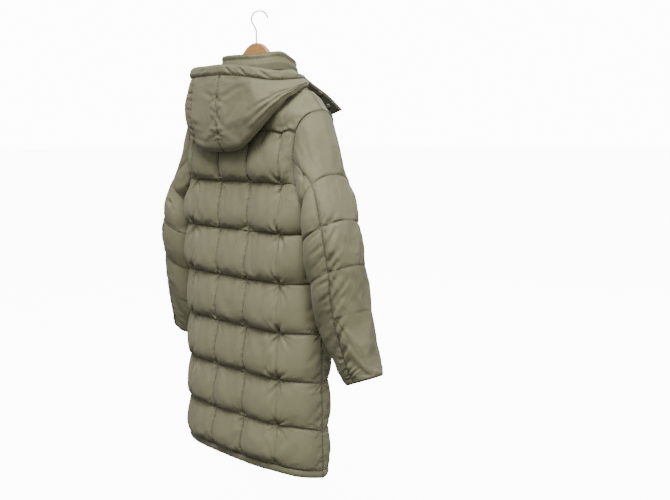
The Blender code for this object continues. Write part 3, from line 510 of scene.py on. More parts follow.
def quiltGroup():
    # how near a point is to the quilting seams, their stitches, and the gathers that run out of them
    group, nodes, links, target = shaderGroup("quiltSeams", ("Groove", "Gathers", "Stitch"), seamSockets)
    source = nodes.new("NodeGroupInput").outputs
    cell, half = coat["cell"], halfCell

    def step(operation, *values):
        return mathNode(nodes, links, operation, *values)

    def times(first, second):
        return step("MULTIPLY", first, second)

    def fading(away, rate):
        return step("EXPONENT", times(away, rate))

    def noiseAt(x, y, z=None):
        join = nodes.new("ShaderNodeCombineXYZ")
        for socket, value in zip(join.inputs, (x, y, z)):
            if value is not None:
                links.new(value, socket)
        noise = noiseFrom(nodes, links, join.outputs[0], {"Scale": 1.0, "Detail": 2.0})
        return step("SUBTRACT", noise, 0.5)

    across, down = splitMap(nodes, links, "quilt")
    fromEdge, alongEdge = splitMap(nodes, links, "border")
    shifted = step("ADD", across, half)
    rowsHere = times(source["Row Seams"], step("LESS_THAN", down, source["Row End"]))
    columnsHere = times(source["Column Seams"], step("GREATER_THAN", down, source["Column Start"]))
    columnsHere = times(columnsHere, step("LESS_THAN", across, source["Column End"]))
    toRow, toColumn = step("PINGPONG", down, half), step("PINGPONG", shifted, half)
    crossed = step("MINIMUM", rowsHere, columnsHere)
    # the same slack as in slackSeam
    slack = times(step("GREATER_THAN", step("ABSOLUTE", across), cell), step("GREATER_THAN", down, 2 * cell))
    slack = times(slack, step("SUBTRACT", 1.0, fading(toRow, seamLook["slackFade"])))
    columnsHere = times(columnsHere, step("SUBTRACT", 1.0, times(slack, seamLook["slackShare"])))
    grooves, gathers, threads = [], [], []
    for away, along, here, sharpness, reach in (
        (toRow, across, rowsHere, -650.0, -120.0),
        (toColumn, down, columnsHere, -430.0, -170.0),
        (fromEdge, alongEdge, None, -420.0, -110.0),
    ):
        pucker = times(noiseAt(times(along, 105.0), times(away, 16.0)), fading(away, reach))
        dash = step("LESS_THAN", step("FRACT", times(along, seamLook["stitches"])), seamLook["stitchShare"])
        thread = times(step("LESS_THAN", away, seamLook["threadWidth"]), dash)
        parts = (fading(away, sharpness), pucker, thread)
        for kind, part in zip((grooves, gathers, threads), parts):
            kind.append(part if here is None else times(part, here))
    # creases that fan out of each crossing
    x, y = step("WRAP", shifted, half, -half), step("WRAP", down, half, -half)
    radius = step("SQRT", step("ADD", times(x, x), times(y, y)))
    safe = step("MAXIMUM", radius, 0.0005)
    snapped = [step("SNAP", step("ADD", place, half), cell) for place in (shifted, down)]
    number = step("ADD", snapped[0], times(snapped[1], 7.3))
    turnX, turnY = (times(step("DIVIDE", place, safe), 2.3) for place in (x, y))
    fan = noiseAt(turnX, turnY, times(number, 40.0))
    fan = times(fan, times(fading(radius, seamLook["fanFade"]), crossed))
    gathers.append(times(fan, seamLook["fanDepth"]))
    results = (("Groove", grooves, "MAXIMUM"), ("Gathers", gathers, "ADD"), ("Stitch", threads, "MAXIMUM"))
    for name, parts, join in results:
        whole = parts[0]
        for part in parts[1:]:
            whole = step(join, whole, part)
        links.new(whole, target.inputs[name])
    return group


def clothGroup():
    # fine plain weave with soft crumples and a slow change of tone
    group, nodes, links, target = shaderGroup("wovenCloth", ("Tone", "Crumple", "Weave"))
    place = nodes.new("ShaderNodeTexCoord").outputs["Object"]
    for name, scale, roughness in (("Tone", 7.0, 0.55), ("Crumple", 46.0, 0.5)):
        values = {"Scale": scale, "Detail": 3.0, "Roughness": roughness, "Distortion": 0.5}
        links.new(noiseFrom(nodes, links, place, values), target.inputs[name])
    threads = []
    for axis in splitMap(nodes, links, "quilt"):
        turn = mathNode(nodes, links, "MULTIPLY", axis, 2 * math.pi / 0.0007)
        threads.append(mathNode(nodes, links, "SINE", turn))
    links.new(mathNode(nodes, links, "MULTIPLY", *threads), target.inputs["Weave"])
    return group


quiltSeams, wovenCloth = quiltGroup(), clothGroup()


def clothMaterial(name, look):
    values = {"Roughness": look["roughness"], "Sheen Weight": look["sheen"]}
    values.update({"Sheen Roughness": 0.45, "Specular IOR Level": 0.3})
    material, nodes, links, shader = newMaterial(name, values)
    weave, seams = nodes.new("ShaderNodeGroup"), nodes.new("ShaderNodeGroup")
    weave.node_tree, seams.node_tree = wovenCloth, quiltSeams
    setInputs(seams, {socket: look[key] for socket, key in seamSockets.items()})
    tone = colourMix(nodes, {"A": (*look["dark"], 1), "B": (*look["light"], 1)})
    # painted shade: near the quilting seams and the panel edges the cloth's colour is mixed towards the dark
    # seam colour, in place of the shade that falls in their valleys
    grooveShade = colourMix(nodes, {"B": (*look["seam"], 1)})
    groove = mathNode(nodes, links, "MULTIPLY", seams.outputs["Groove"], 0.7)
    links.new(weave.outputs["Tone"], tone.inputs["Factor"])
    links.new(tone.outputs["Result"], grooveShade.inputs["A"])
    links.new(groove, grooveShade.inputs["Factor"])
    links.new(grooveShade.outputs["Result"], shader.inputs["Base Color"])
    normal = None
    for output, strength, depth in (
        (seams.outputs["Gathers"], look["gathers"], 0.010),
        (weave.outputs["Crumple"], look["crumple"], 0.0022),
        (seams.outputs["Groove"], -0.5, 0.0012),
        (seams.outputs["Stitch"], 0.4, 0.0004),
        (weave.outputs["Weave"], 0.12, 0.0001),
    ):
        normal = bumpFrom(nodes, links, output, strength, depth, normal)
    links.new(normal, shader.inputs["Normal"])
    return material


sage = {
    "light": (0.228, 0.219, 0.132),
    "dark": (0.190, 0.181, 0.104),
    # seam is the colour of the painted shade in the quilting grooves and along the panel edges
    "seam": (0.070, 0.066, 0.038),
    "roughness": 0.64,
    "sheen": 0.12,
    "gathers": 0.55,
    "crumple": 0.16,
    "rows": 1.0,
    "columns": 1.0,
    "rowEnd": 9.0,
    "columnStart": 0.121,
    "columnEnd": 9.0,
}
plainSage = {**sage, "rows": 0.0, "columns": 0.0}
hoodSage = {**sage, "rows": 0.0, "columnStart": -9.0, "columnEnd": 0.12}
# the olive seam colour is painted groove shade as well
olive = {"light": (0.062, 0.060, 0.038), "dark": (0.045, 0.044, 0.028), "seam": (0.02, 0.02, 0.012)}
quiltedCloth = clothMaterial("quiltedSageCloth", sage)
hoodCloth = clothMaterial("hoodSageCloth", hoodSage)
seamedHoodCloth = clothMaterial("seamedHoodSageCloth", {**hoodSage, "columnEnd": 0.2})
sleeveCloth = clothMaterial("sleeveSageCloth", {**sage, "columns": 0.0, "rowEnd": 0.42})
trimCloth = clothMaterial("trimSageCloth", {**plainSage, "gathers": 0.7})
plainCloth = clothMaterial("plainSageCloth", plainSage)
liningCloth = clothMaterial("oliveLining", {**plainSage, **olive, "sheen": 0.1})
print("cloth materials ready")


bodyLook = {
    "points": 28,  # grid points along one cell, crowded beside the seams
    "fuller": 1.08,
    "start": 0.88,  # share of its height that the cloth starts from
    "spare": 0.04,
    "pressure": 3.0,
    "bending": 0.3,
    "sag": 0.2,
    "frames": 22,
    "loose": 0.5,  # share of the settled cloth in the finished form
    "droop": 0.007,  # how far the filling sags inside a cell
    "arch": 0.0048,  # how far a row seam is pushed up between two crossings
    "stitch": (0.0022, 0.004),  # depth and width of the groove along a column seam
    "flat": (0.035, 0.030),  # half width of the flat strip under the placket, and of the rise beside it
}
cellStep = spaced(bodyLook["points"])
bodyRows = np.unique(np.round(np.concatenate([i + cellStep for i in range(8)] + [[armRows[-1], 8.0]]), 9))
bodyCells = np.round(np.concatenate([i - sideCell + cellStep for i in range(5)] + [[sideCell]]), 9)


def armholeSeam(sideName, params):
    # how the outer edge leans off the inner one round an armhole, and the step from body to sleeve
    loop, bodyNormal = armholeLoop(params)
    rings = sleeveGrid(sideName, params, np.linspace(0, 0.5, 3))
    shared = unit(bodyNormal + ringNormals(rings)[0])
    along = unit(np.roll(loop, -1, axis=0) - np.roll(loop, 1, axis=0))
    across = unit(rings[1] - loop)
    for axis in (shared, along):
        across = across - (across * axis).sum(-1, keepdims=True) * axis
    return shared * coat["armEdge"] + unit(across) * coat["slant"], unit(across) * gap


def bodyPanel(name, node, side, cells, armholes, creases):
    rows = bodyRows
    grid = bodyGrid(side, rows, cells)
    normal = bodyNormals(grid, side, rows, cells)
    across, down = np.meshgrid(cells, rows)
    height = puffedHeight(across, down)
    u, v = across * coat["cell"], down * coat["cell"]
    if side < 0:
        flat, rise = bodyLook["flat"]
        height = height * np.clip((np.abs(grid[..., 0]) - flat) / rise, 0, 1)
    wander = uneven(u, v, 0.024, 5) * 0.0006 + uneven(u, v, 0.08, 6) * 0.0022
    lively = softStep(height / 0.008)
    start = grid + normal * (coat["wall"] + height * bodyLook["start"] + wander * lively)[..., None]
    size = np.abs(across)
    within = fromSeam(size - 0.5)
    pinned = (down % 1 == 0) | (height < 0.0015)
    outer = puffOut(name, start, pinned, side, bodyLook, bodyLook["loose"])
    outer = heldWithin(outer, grid, normal, coat["wall"] * 0.8, coat["wall"] + height * 1.1 + 0.002)
    over = ((outer - grid) * normal).sum(-1) - coat["wall"]
    free = softStep(over / 0.0045)
    deep, wide = bodyLook["stitch"]
    stitched = deep * np.exp(-within * coat["cell"] / wide) * (down > 1) * (1 - 0.7 * slackSeam(size, down))
    outer = outer - normal * ((creaseDepth(u, v, creases) + stitched) * free)[..., None]
    # the filling sags in each cell, and lifts the row seams between their crossings
    arch = (1 - (1 - within / 0.5) ** 2) * np.exp(-((fromSeam(down) / 0.17) ** 2))
    arch = arch * (down > 0.5) * (down < 7.5) * softStep((sideCell - size) / 0.3)
    lower = bodyLook["droop"] * (over / coat["puff"]).clip(0, 1.2) * softStep((down % 1) / 0.6)
    outer[..., 2] += bodyLook["arch"] * arch - lower * softStep((sideCell - size) / 0.15)
    inner = grid.copy()
    # the edge beside an armhole lies on the shared seam
    count = int(np.searchsorted(rows, armRows[-1] + tiny))
    params = np.interp(rows[:count], armRows, range(12))
    here = params if side > 0 else np.where(params == 0, 0, wholeArm - params)
    for column, sideName, mirror in armholes:
        both = np.unique(np.concatenate([params, wholeArm - params[1:-1]]))
        lean, over = armholeSeam(sideName, both)
        at = np.searchsorted(both, here - tiny)
        turn = np.array([mirror, 1.0, 1.0])
        inner[:count, column] -= over[at] * turn
        outer[:count, column] = inner[:count, column] + lean[at] * turn
    atSeam = (down == 0) & (size >= neckCell) | (down >= armRows[-1] - tiny) & (size == sideCell)
    for sheet, slant in ((inner, -coat["slant"]), (outer, coat["slant"])):
        sheet[atSeam, 1] = keptOff(sheet[atSeam, 1], side) + slant
        if side < 0:
            sheet[..., 0] = keptOff(sheet[..., 0], np.sign(cells.sum()))
    outer[-1, :, 2] -= coat["slant"]
    piece = sewnWall(name, inner, outer, np.stack([u, v], -1), [quiltedCloth], node)


sleeveTables = {
    "right": {
        "outerX": (0.309, 0.359, 0.379, 0.387, 0.402, 0.413),
        "outerDrop": (0.402, 0.505, 0.608, 0.715, 0.822, 0.872),
        "innerX": (0.258, 0.2555, 0.270, 0.279, 0.310, 0.332),
        "innerDrop": (0.497, 0.575, 0.667, 0.770, 0.860, 0.906),
        "centreY": (0.014, 0.022, 0.014, -0.002, -0.020, -0.028),
        "halfDepth": (0.066, 0.068, 0.062, 0.055, 0.043, 0.034),
        "elbow": (58.0, 54.0, 60.0, 70.0, 80.0, 88.0),
        "puffShare": (0.8, 0.8, 0.75, 0.7, 0.6, 0.45),
    },
    "left": {
        "outerX": (0.309, 0.357, 0.382, 0.388, 0.402, 0.409),
        "outerDrop": (0.412, 0.522, 0.630, 0.728, 0.818, 0.853),
        "innerX": (0.257, 0.2555, 0.273, 0.284, 0.312, 0.328),
        "innerDrop": (0.497, 0.588, 0.683, 0.778, 0.848, 0.877),
        "centreY": (0.010, 0.012, 0.000, -0.014, -0.024, -0.030),
        "halfDepth": (0.058, 0.066, 0.060, 0.054, 0.043, 0.034),
        "elbow": (64.0, 60.0, 62.0, 70.0, 80.0, 88.0),
        "puffShare": (0.8, 0.8, 0.7, 0.6, 0.5, 0.4),
    },
}
sleeveLook = {
    "stepPoints": 26,
    "columnPoints": 5,
    "start": 0.88,
    "spare": 0.035,
    "pressure": 2.5,
    "bending": 0.3,
    "sag": 0.1,
    "frames": 18,
    "loose": (0.35, 0.42),  # share of the settled cloth above and below the elbow
    "droop": 0.004,
    "row": (1.15, 0.66),
    "placeWidth": 0.0205,  # cloth between two places round the arm
}


def sleeveRing(table, i, params):
    # the left sleeve's outline at one of its row seams
    outer, inner = (
        np.array([table[f"{edge}X"][i], table["centreY"][i], -table[f"{edge}Drop"][i]])
        for edge in ("outer", "inner")
    )
    away = np.minimum(params, wholeArm - params)
    turn = np.interp(away, (0, elbowPlace, underarm), (0, table["elbow"][i], 180))
    angles = np.radians(np.where(params <= underarm, turn, 360 - turn))[:, None]
    depth = np.array([0.0, table["halfDepth"][i], 0.0])
    return (outer + inner) / 2 + (outer - inner) / 2 * np.cos(angles) + depth * np.sin(angles)


def sleeveGrid(sideName, params, steps):
    table = sleeveTables[sideName]
    rings = [armholeLoop(params)[0]] + [sleeveRing(table, i, params) for i in range(6)]
    grid = curveThrough(range(7), np.stack(rings), steps)
    below = np.exp(-(((params - underarm) / 3.0) ** 2))
    away = np.interp(steps, (0, 0.25, 1, 2), (0.0, 1.0, 0.4, 0.0))
    grid[..., 0] += 0.005 * away[:, None] * below
    return grid


def ringNormals(grid):
    across = np.roll(grid, -1, axis=1) - np.roll(grid, 1, axis=1)
    normal = unit(np.cross(across, np.gradient(grid, axis=0)))
    outward = grid - grid.mean(axis=1, keepdims=True)
    return normal if (normal * outward).sum(-1).mean() > 0 else -normal


def sleeveHeight(table, params, steps):
    # height of the sleeve's filling, flatter towards the body and smooth below the elbow
    hold = np.interp(steps, range(7), (0.0, 0.0, 0.0, 0.30, 0.90, 0.94, 0.60)) * 0.9
    swell = hold + (1 - hold) * rowSwell(np.where(steps == 6, 1.0, steps % 1), *sleeveLook["row"])
    share = np.interp(steps, range(7), (0.85,) + table["puffShare"]) * 1.12
    nearest = np.minimum(np.abs(params - elbowPlace), np.abs(params - frontPlace)) / 4
    towardsBody = np.exp(-(((params - underarm) / 2.6) ** 2))
    flatter = np.interp(steps, range(6), (0.9, 0.9, 0.75, 0.6, 0.3, 0.1))
    flat = 1 - towardsBody * flatter[:, None]
    seam = 1 - 0.30 * np.exp(-nearest / 0.10) - 0.25 * np.clip(1 - nearest / 0.5, 0, 1) ** 1.5
    return coat["sleevePuff"] * (swell * share)[:, None] * seam * flat


def sleeve(sideName, mirror, creases):
    perRow, perColumn = sleeveLook["stepPoints"], sleeveLook["columnPoints"]
    steps = np.arange(0, 6 * perRow + 1) / perRow
    params = np.arange(wholeArm * perColumn) / perColumn
    grid = sleeveGrid(sideName, params, steps)
    normal = ringNormals(grid)
    height = sleeveHeight(sleeveTables[sideName], params, steps)
    lean, over = armholeSeam(sideName, params)
    roundIt = unit(np.roll(grid, -1, axis=1) - np.roll(grid, 1, axis=1))
    down = np.broadcast_to(steps[:, None], height.shape)
    columns = np.arange(len(params))
    first, second = elbowPlace * perColumn, frontPlace * perColumn
    upper = np.concatenate([columns[second:], columns[: first + 1]])
    for panel, order in (("Upper", upper), ("Under", columns[first : second + 1])):
        base, out, high, row = grid[:, order], normal[:, order], height[:, order], down[:, order]
        u = np.arange(len(order)) * sleeveLook["placeWidth"] / perColumn + 0 * row
        v = row * coat["cell"]
        wander = uneven(u + 3 * mirror, v, 0.024, 15) * 0.0006 + uneven(u, v + mirror, 0.06, 16) * 0.0018
        lively = softStep(high / 0.004)
        start = base + out * (coat["wall"] + high * sleeveLook["start"] + wander * lively)[..., None]
        sign = -1 if (gridFacing(base) * out).sum(-1).mean() > 0 else 1
        loose = np.interp(row, (1.5, 3.0), sleeveLook["loose"])[..., None]
        outer = puffOut(f"sleeve{panel}", start, np.isin(row, (0, 1, 2, 6)), sign, sleeveLook, loose)
        outer = heldWithin(outer, base, out, coat["wall"] * 0.8, coat["wall"] + high * 1.12 + 0.0025)
        trough = creaseDepth(u, v, creases.get(panel, ())) * softStep(np.minimum(u, u.max() - u) / 0.005)
        risen = ((outer - base) * out).sum(-1) - coat["wall"]
        outer = outer - out * (trough * softStep(risen / 0.004))[..., None]
        sag = sleeveLook["droop"] * (risen / coat["sleevePuff"]).clip(0, 1.2) * softStep((row % 1) / 0.6)
        outer[..., 2] -= sag * (row < 4)
        inner = base.copy()
        inner[0] += over[order]
        outer[0] = inner[0] + lean[order]
        for sheet, slant in ((inner, -coat["slant"]), (outer, coat["slant"])):
            sheet[1:, 0] += roundIt[1:, order[0]] * (gap / 2 + slant)
            sheet[1:, -1] -= roundIt[1:, order[-1]] * (gap / 2 - slant)
            sheet[0, 0] += roundIt[0, order[0]] * gap / 2
            sheet[0, -1] -= roundIt[0, order[-1]] * gap / 2
            sheet[..., 0] *= mirror
        name, node = f"{sideName}Sleeve{panel}", f"sleeve_{sideName}_{panel.lower()}"
        piece = sewnWall(name, inner, outer, np.stack([u, v], -1), [sleeveCloth], node)


# the short creases that run out of each crossing of two seams
crossings = {
    "side": {"turns": (-132, -112, -94, -76, -54, 48, 68, 88, 108, 130), "reach": 0.054, "deep": 0.0054},
    "middle": {"turns": (-122, -98, -62, 56, 82, 120), "reach": 0.036, "deep": 0.0040},
}


def crossingCreases(cells, seed):
    creases = []
    for edge in [edge for edge in (-2.44, 2.44) if edge * cells[0] > 0 or edge * cells[-1] > 0]:
        turns = np.array((-58, -30, -8, 24, 46, 66)) + (180 if edge > 0 else 0)
        for row in range(4, 8):
            at = (edge * coat["cell"], row * coat["cell"])
            creases += starCreases(*at, turns, 0.040, 0.0048, seed + 900 + row)
    for row in range(1, 8):
        for cell in cells:
            look = crossings["side" if abs(cell) > 1 else "middle"]
            at = (cell * coat["cell"], row * coat["cell"])
            turns = [turn for turn in look["turns"] if row > 1 or turn > 0]
            deep = look["deep"] * (0.7 if row == 7 else 1.0)
            creases += starCreases(*at, turns, look["reach"], deep, seed + row * 10 + int(cell * 2))
    return creases


# long creases in metres across from the centre, to the wearer's left, and down the rows
backCreases = crossingCreases((-1.5, -0.5, 0.5, 1.5), 100)
longPulls = ((3, 0.06, 0.085), (4, 0.055, 0.095), (5, 0.05, 0.07), (6, 0.07, 0.08), (7, 0.05, 0.07))
for row, lean, long in longPulls:
    low = row * coat["cell"]
    backCreases.append((0.178, low - 0.002, 0.178 - lean, low - long, 0.0034, 0.0052, True))
    backCreases.append((0.182, low - 0.004, 0.150, low - long, 0.0026, 0.0048, True))
    backCreases.append((0.178, low + 0.004, 0.178 - lean, low + 0.5 * long, 0.0026, 0.0045, True))
backCreases += [
    (-0.172, 0.232, -0.150, 0.196, 0.0032, 0.0050, True),
    (-0.196, 0.226, -0.214, 0.190, 0.0028, 0.0050, True),
    (-0.262, 0.118, -0.205, 0.100, 0.0024, 0.0050, True),
    (-0.262, 0.122, -0.222, 0.160, 0.0030, 0.0060, True),
]
bodyPanel("backPanel", "back", 1, bodyCells, ((-1, "left", 1.0), (0, "right", -1.0)), backCreases)
print("back panel sewn")
leftCells = np.concatenate([[0.0], bodyCells[bodyCells > 0]])
leftCreases, rightCreases = crossingCreases((0.5, 1.5), 300), crossingCreases((-0.5, -1.5), 400)
bodyPanel("leftFront", "front_left", -1, leftCells, ((-1, "left", 1.0),), leftCreases)
bodyPanel("rightFront", "front_right", -1, -leftCells[::-1], ((0, "right", -1.0),), rightCreases)
print("fronts sewn")


def elbowCreases(seed, strength=1.0):
    # stars where the rows meet the elbow seam, and slanting pulls out of it down the lower sleeve
    roll = np.random.default_rng(seed)
    seamAt = (wholeArm - frontPlace + elbowPlace) * sleeveLook["placeWidth"]
    upper, under = [], []
    for row, reach, deep in ((0.12, 0.030, 0.0036), (0.24, 0.045, 0.0046), (0.36, 0.040, 0.0034)):
        deep = deep * strength
        number = seed + int(row * 100)
        upper += starCreases(seamAt, row, (-160, -135, -112, 112, 135, 160, 178), reach, deep, number)
        under += starCreases(0.0, row, (-68, -42, -20, 5, 25, 48, 70), reach * 0.9, deep, number + 50)
    for low in np.arange(0.27, 0.68, 0.034):
        low += roll.uniform(-0.007, 0.007)
        long = roll.uniform(0.04, 0.11)
        slant = roll.uniform(0.35, 0.8)
        deep = roll.uniform(0.0022, 0.0046) * strength
        upper.append((seamAt, low, seamAt - long, low - slant * long, deep, 0.0045 + 0.03 * long, True))
        long = roll.uniform(0.025, 0.05)
        low += 0.01
        under.append((0.0, low, long, low + roll.uniform(-0.5, 0.7) * long, deep * 0.9, 0.005, True))
    return {"Upper": upper, "Under": under}


rightPulls, leftPulls = elbowCreases(500), elbowCreases(600, 0.45)
rightPulls["Under"] += starCreases(0.004, 0.07, (-75, -45, -15, 20, 50, 80), 0.040, 0.0040, 71)
leftPulls["Under"] += starCreases(0.030, 0.165, (-150, -90, -30, 30, 90, 150), 0.024, 0.0050, 72)
sleeve("right", -1.0, rightPulls)
sleeve("left", 1.0, leftPulls)
print("sleeves sewn")

collar = {
    "height": (0.0, 0.13, 0.20, 0.40, 0.62, 0.82, 0.92, 1.0),
    "lean": (0.0, 0.0, 0.0, 0.003, 0.006, 0.0085, 0.008, 0.009),
    "thickness": (0.004, 0.004, 0.009, 0.012, 0.011, 0.005, 0.007, 0.0035),
    "topTurn": (0.0, 45.0, 88.0, 110.0, 132.0, 180.0),
    "topDrop": (0.1125, 0.1120, 0.1055, 0.1180, 0.1240, 0.1280),
    "shift": 0.005,
    "foot": 0.003,
    "crumple": 0.0016,
}


def neckRing(angle, grow, shift=0.0):
    # points round the neck, grown outwards and shifted back
    x = (neck["halfWidth"] + grow) * np.sin(angle)
    y = neck["centreY"] + shift + (neck["halfDepth"] + grow) * np.cos(angle)
    return np.stack([x, y], -1)


def standCollar():
    shares = np.linspace(0, 1, 25)
    backHalf, frontHalf = neckTurn(shares, 1), neckTurn(shares[::-1], -1)
    half = np.concatenate([backHalf, frontHalf[1:]])
    angles = np.concatenate([-half[:0:-1], half])
    behind = np.abs(angles) <= backHalf[-1] + 1e-6
    x = neck["halfWidth"] * np.sin(angles)
    drops = np.where(behind, neckDrop(x, 1), neckDrop(x, -1))
    seam = np.column_stack([neckRing(angles, 0.0), -drops])
    inward = -unit(np.column_stack([np.sin(angles), np.cos(angles), 0 * angles]))
    inset = gap + 0.0012 + collar["foot"] * 0.55 * np.clip(-np.cos(angles), 0, 1)
    foot = seam + inward * inset[:, None]
    topDrop = curveThrough(collar["topTurn"], collar["topDrop"], np.degrees(np.abs(angles)))
    along = runLength(seam[:, :2])
    wall = collar["thickness"][0]
    inner, outer, quilt = [], [], []
    for height in np.unique(np.concatenate([np.linspace(0, 1, 29), collar["height"]])):
        z = seam[:, 2] - collar["foot"]
        z = z + (-topDrop - z) * height
        smooth = softStep((height - collar["height"][1]) / 0.2)
        lean = float(curveThrough(collar["height"], collar["lean"], height))
        thick = float(np.interp(height, collar["height"], collar["thickness"]))
        rounded = neckRing(angles, lean - gap - wall, collar["shift"] * height)
        level = (foot + inward * wall)[:, :2] * (1 - smooth) + rounded * smooth
        free = softStep((height - 0.2) / 0.25) * softStep((1 - height) / 0.15)
        rumple = uneven(along, height * 0.03, 0.013, 41)
        rumple = rumple + uneven(along + height * 0.02, 0.05 * along, 0.034, 42)
        thickness = thick + collar["crumple"] * free * rumple
        inner.append(np.column_stack([level, z]))
        outer.append(np.column_stack([level, z]) - inward * thickness[:, None])
        quilt.append(np.column_stack([along, np.full(len(along), (height - 0.82) * 0.07)]))
    inner, outer = np.stack(inner), np.stack(outer)
    for sheet, slant in ((inner, -2 * coat["slant"]), (outer, 2 * coat["slant"])):
        sheet[:, 0, 0], sheet[:, -1, 0] = slant - gap / 2, slant + gap / 2
    piece = sewnWall("standCollar", inner, outer, np.stack(quilt), [trimCloth], "collar")


hood = {
    "rimX": (0.0002, 0.070, 0.125, 0.153, 0.171, 0.168, 0.143),
    "rimY": (0.112, 0.112, 0.108, 0.086, 0.055, 0.005, -0.030),
    "rimDrop_left": (0.162, 0.163, 0.1655, 0.170, 0.173, 0.1735, 0.171),
    "rimDrop_right": (0.162, 0.1665, 0.173, 0.1780, 0.179, 0.176, 0.171),
    "rimHeight": (0.0255, 0.0255, 0.0255, 0.024, 0.021, 0.0145, 0.008),
    "foldX": (0.0002, 0.070, 0.128, 0.170, 0.190, 0.180, 0.150),
    "foldY": (0.106, 0.106, 0.100, 0.084, 0.054, 0.004, -0.033),
    "foldDrop_left": (0.350, 0.349, 0.326, 0.272, 0.226, 0.200, 0.193),
    "foldDrop_right": (0.350, 0.343, 0.304, 0.260, 0.224, 0.199, 0.193),
    "neckTurn": (0.0, 22.0, 45.0, 62.0, 80.0, 98.0, 114.0),
    "neckDrop": (0.166, 0.166, 0.163, 0.158, 0.153, 0.150, 0.158),
    "bulge": (0.014, 0.013, 0.012, 0.012, 0.012, 0.010, 0.006),
}
hoodLook = {
    "sideSeam": 0.113,
    "innerWall": 0.003,
    "wall": (0.0045, 0.008, 0.008, 0.0045),  # at the fold, near it, near the rim seam and at it
    "innerRows": (0.0, 0.12, 0.25, 0.37, 0.5, 0.62, 0.75, 0.84, 0.92),
    "held": (-0.003, 0.007),  # how far in and out the loosened cloth may go
    "clearance": 0.0035,
    "neckGrow": 0.0165,
    "rimLean": 0.004,
    "spare": 0.035,
    "pressure": 1.5,
    "bending": 0.3,
    "sag": 0.15,
    "frames": 16,
    "loose": 0.35,
    "slant": 0.0012,  # how far the rim's seam drops outwards, so that it shuts
}
hoodPlaces = np.linspace(0, 6, 67)


def bodySkin():
    # points and normals over the upper body, which the hood rests on
    cells, points, normals = np.linspace(-sideCell, sideCell, 81), [], []
    rows = np.linspace(0, 2, 33)
    across, down = np.meshgrid(cells, rows)
    for side in (1, -1):
        grid = bodyGrid(side, rows, cells)
        normal = bodyNormals(grid, side, rows, cells)
        points.append((grid + normal * (coat["wall"] + cellHeight(across, down))[..., None]).reshape(-1, 3))
        normals.append(normal.reshape(-1, 3))
    return np.concatenate(points), np.concatenate(normals)


skinPoints, skinNormals = bodySkin()


def clearOfBody(points, room):
    # the push that lifts points to the given room over the body
    nearest = np.argmin(((points[:, None] - skinPoints[None]) ** 2).sum(-1), axis=1)
    depth = ((points - skinPoints[nearest]) * skinNormals[nearest]).sum(-1)
    return skinNormals[nearest] * (room - depth).clip(0)[:, None]


def hoodPaths(sideName):
    # the lines of a half's neck seam, hanging fold and rim seam, and the rim's height and the wall's bulge
    halves, read = np.linspace(0, 6, 13), {}
    for name, values in hood.items():
        read[name] = curveThrough(halves, curveThrough(range(7), values, halves), hoodPlaces)
    ring = neckRing(np.radians(read["neckTurn"]), hoodLook["neckGrow"])
    seam = np.column_stack([ring, -read["neckDrop"]])
    fold = np.column_stack([read["foldX"], read["foldY"], -read[f"foldDrop_{sideName}"]])
    rim = np.column_stack([read["rimX"], read["rimY"], -read[f"rimDrop_{sideName}"]])
    rim = rim + clearOfBody(rim, hoodLook["clearance"]) * np.array([1, 1, 0])
    return seam, fold, rim, read["rimHeight"], read["bulge"]


def hoodOutward(fold, rim):
    # the way the outer wall faces between its fold and its rim
    facing = unit(np.cross(np.gradient(fold, axis=0), rim - fold))
    return facing * np.sign((facing * fold * np.array([1, 1, 0])).sum(-1, keepdims=True))


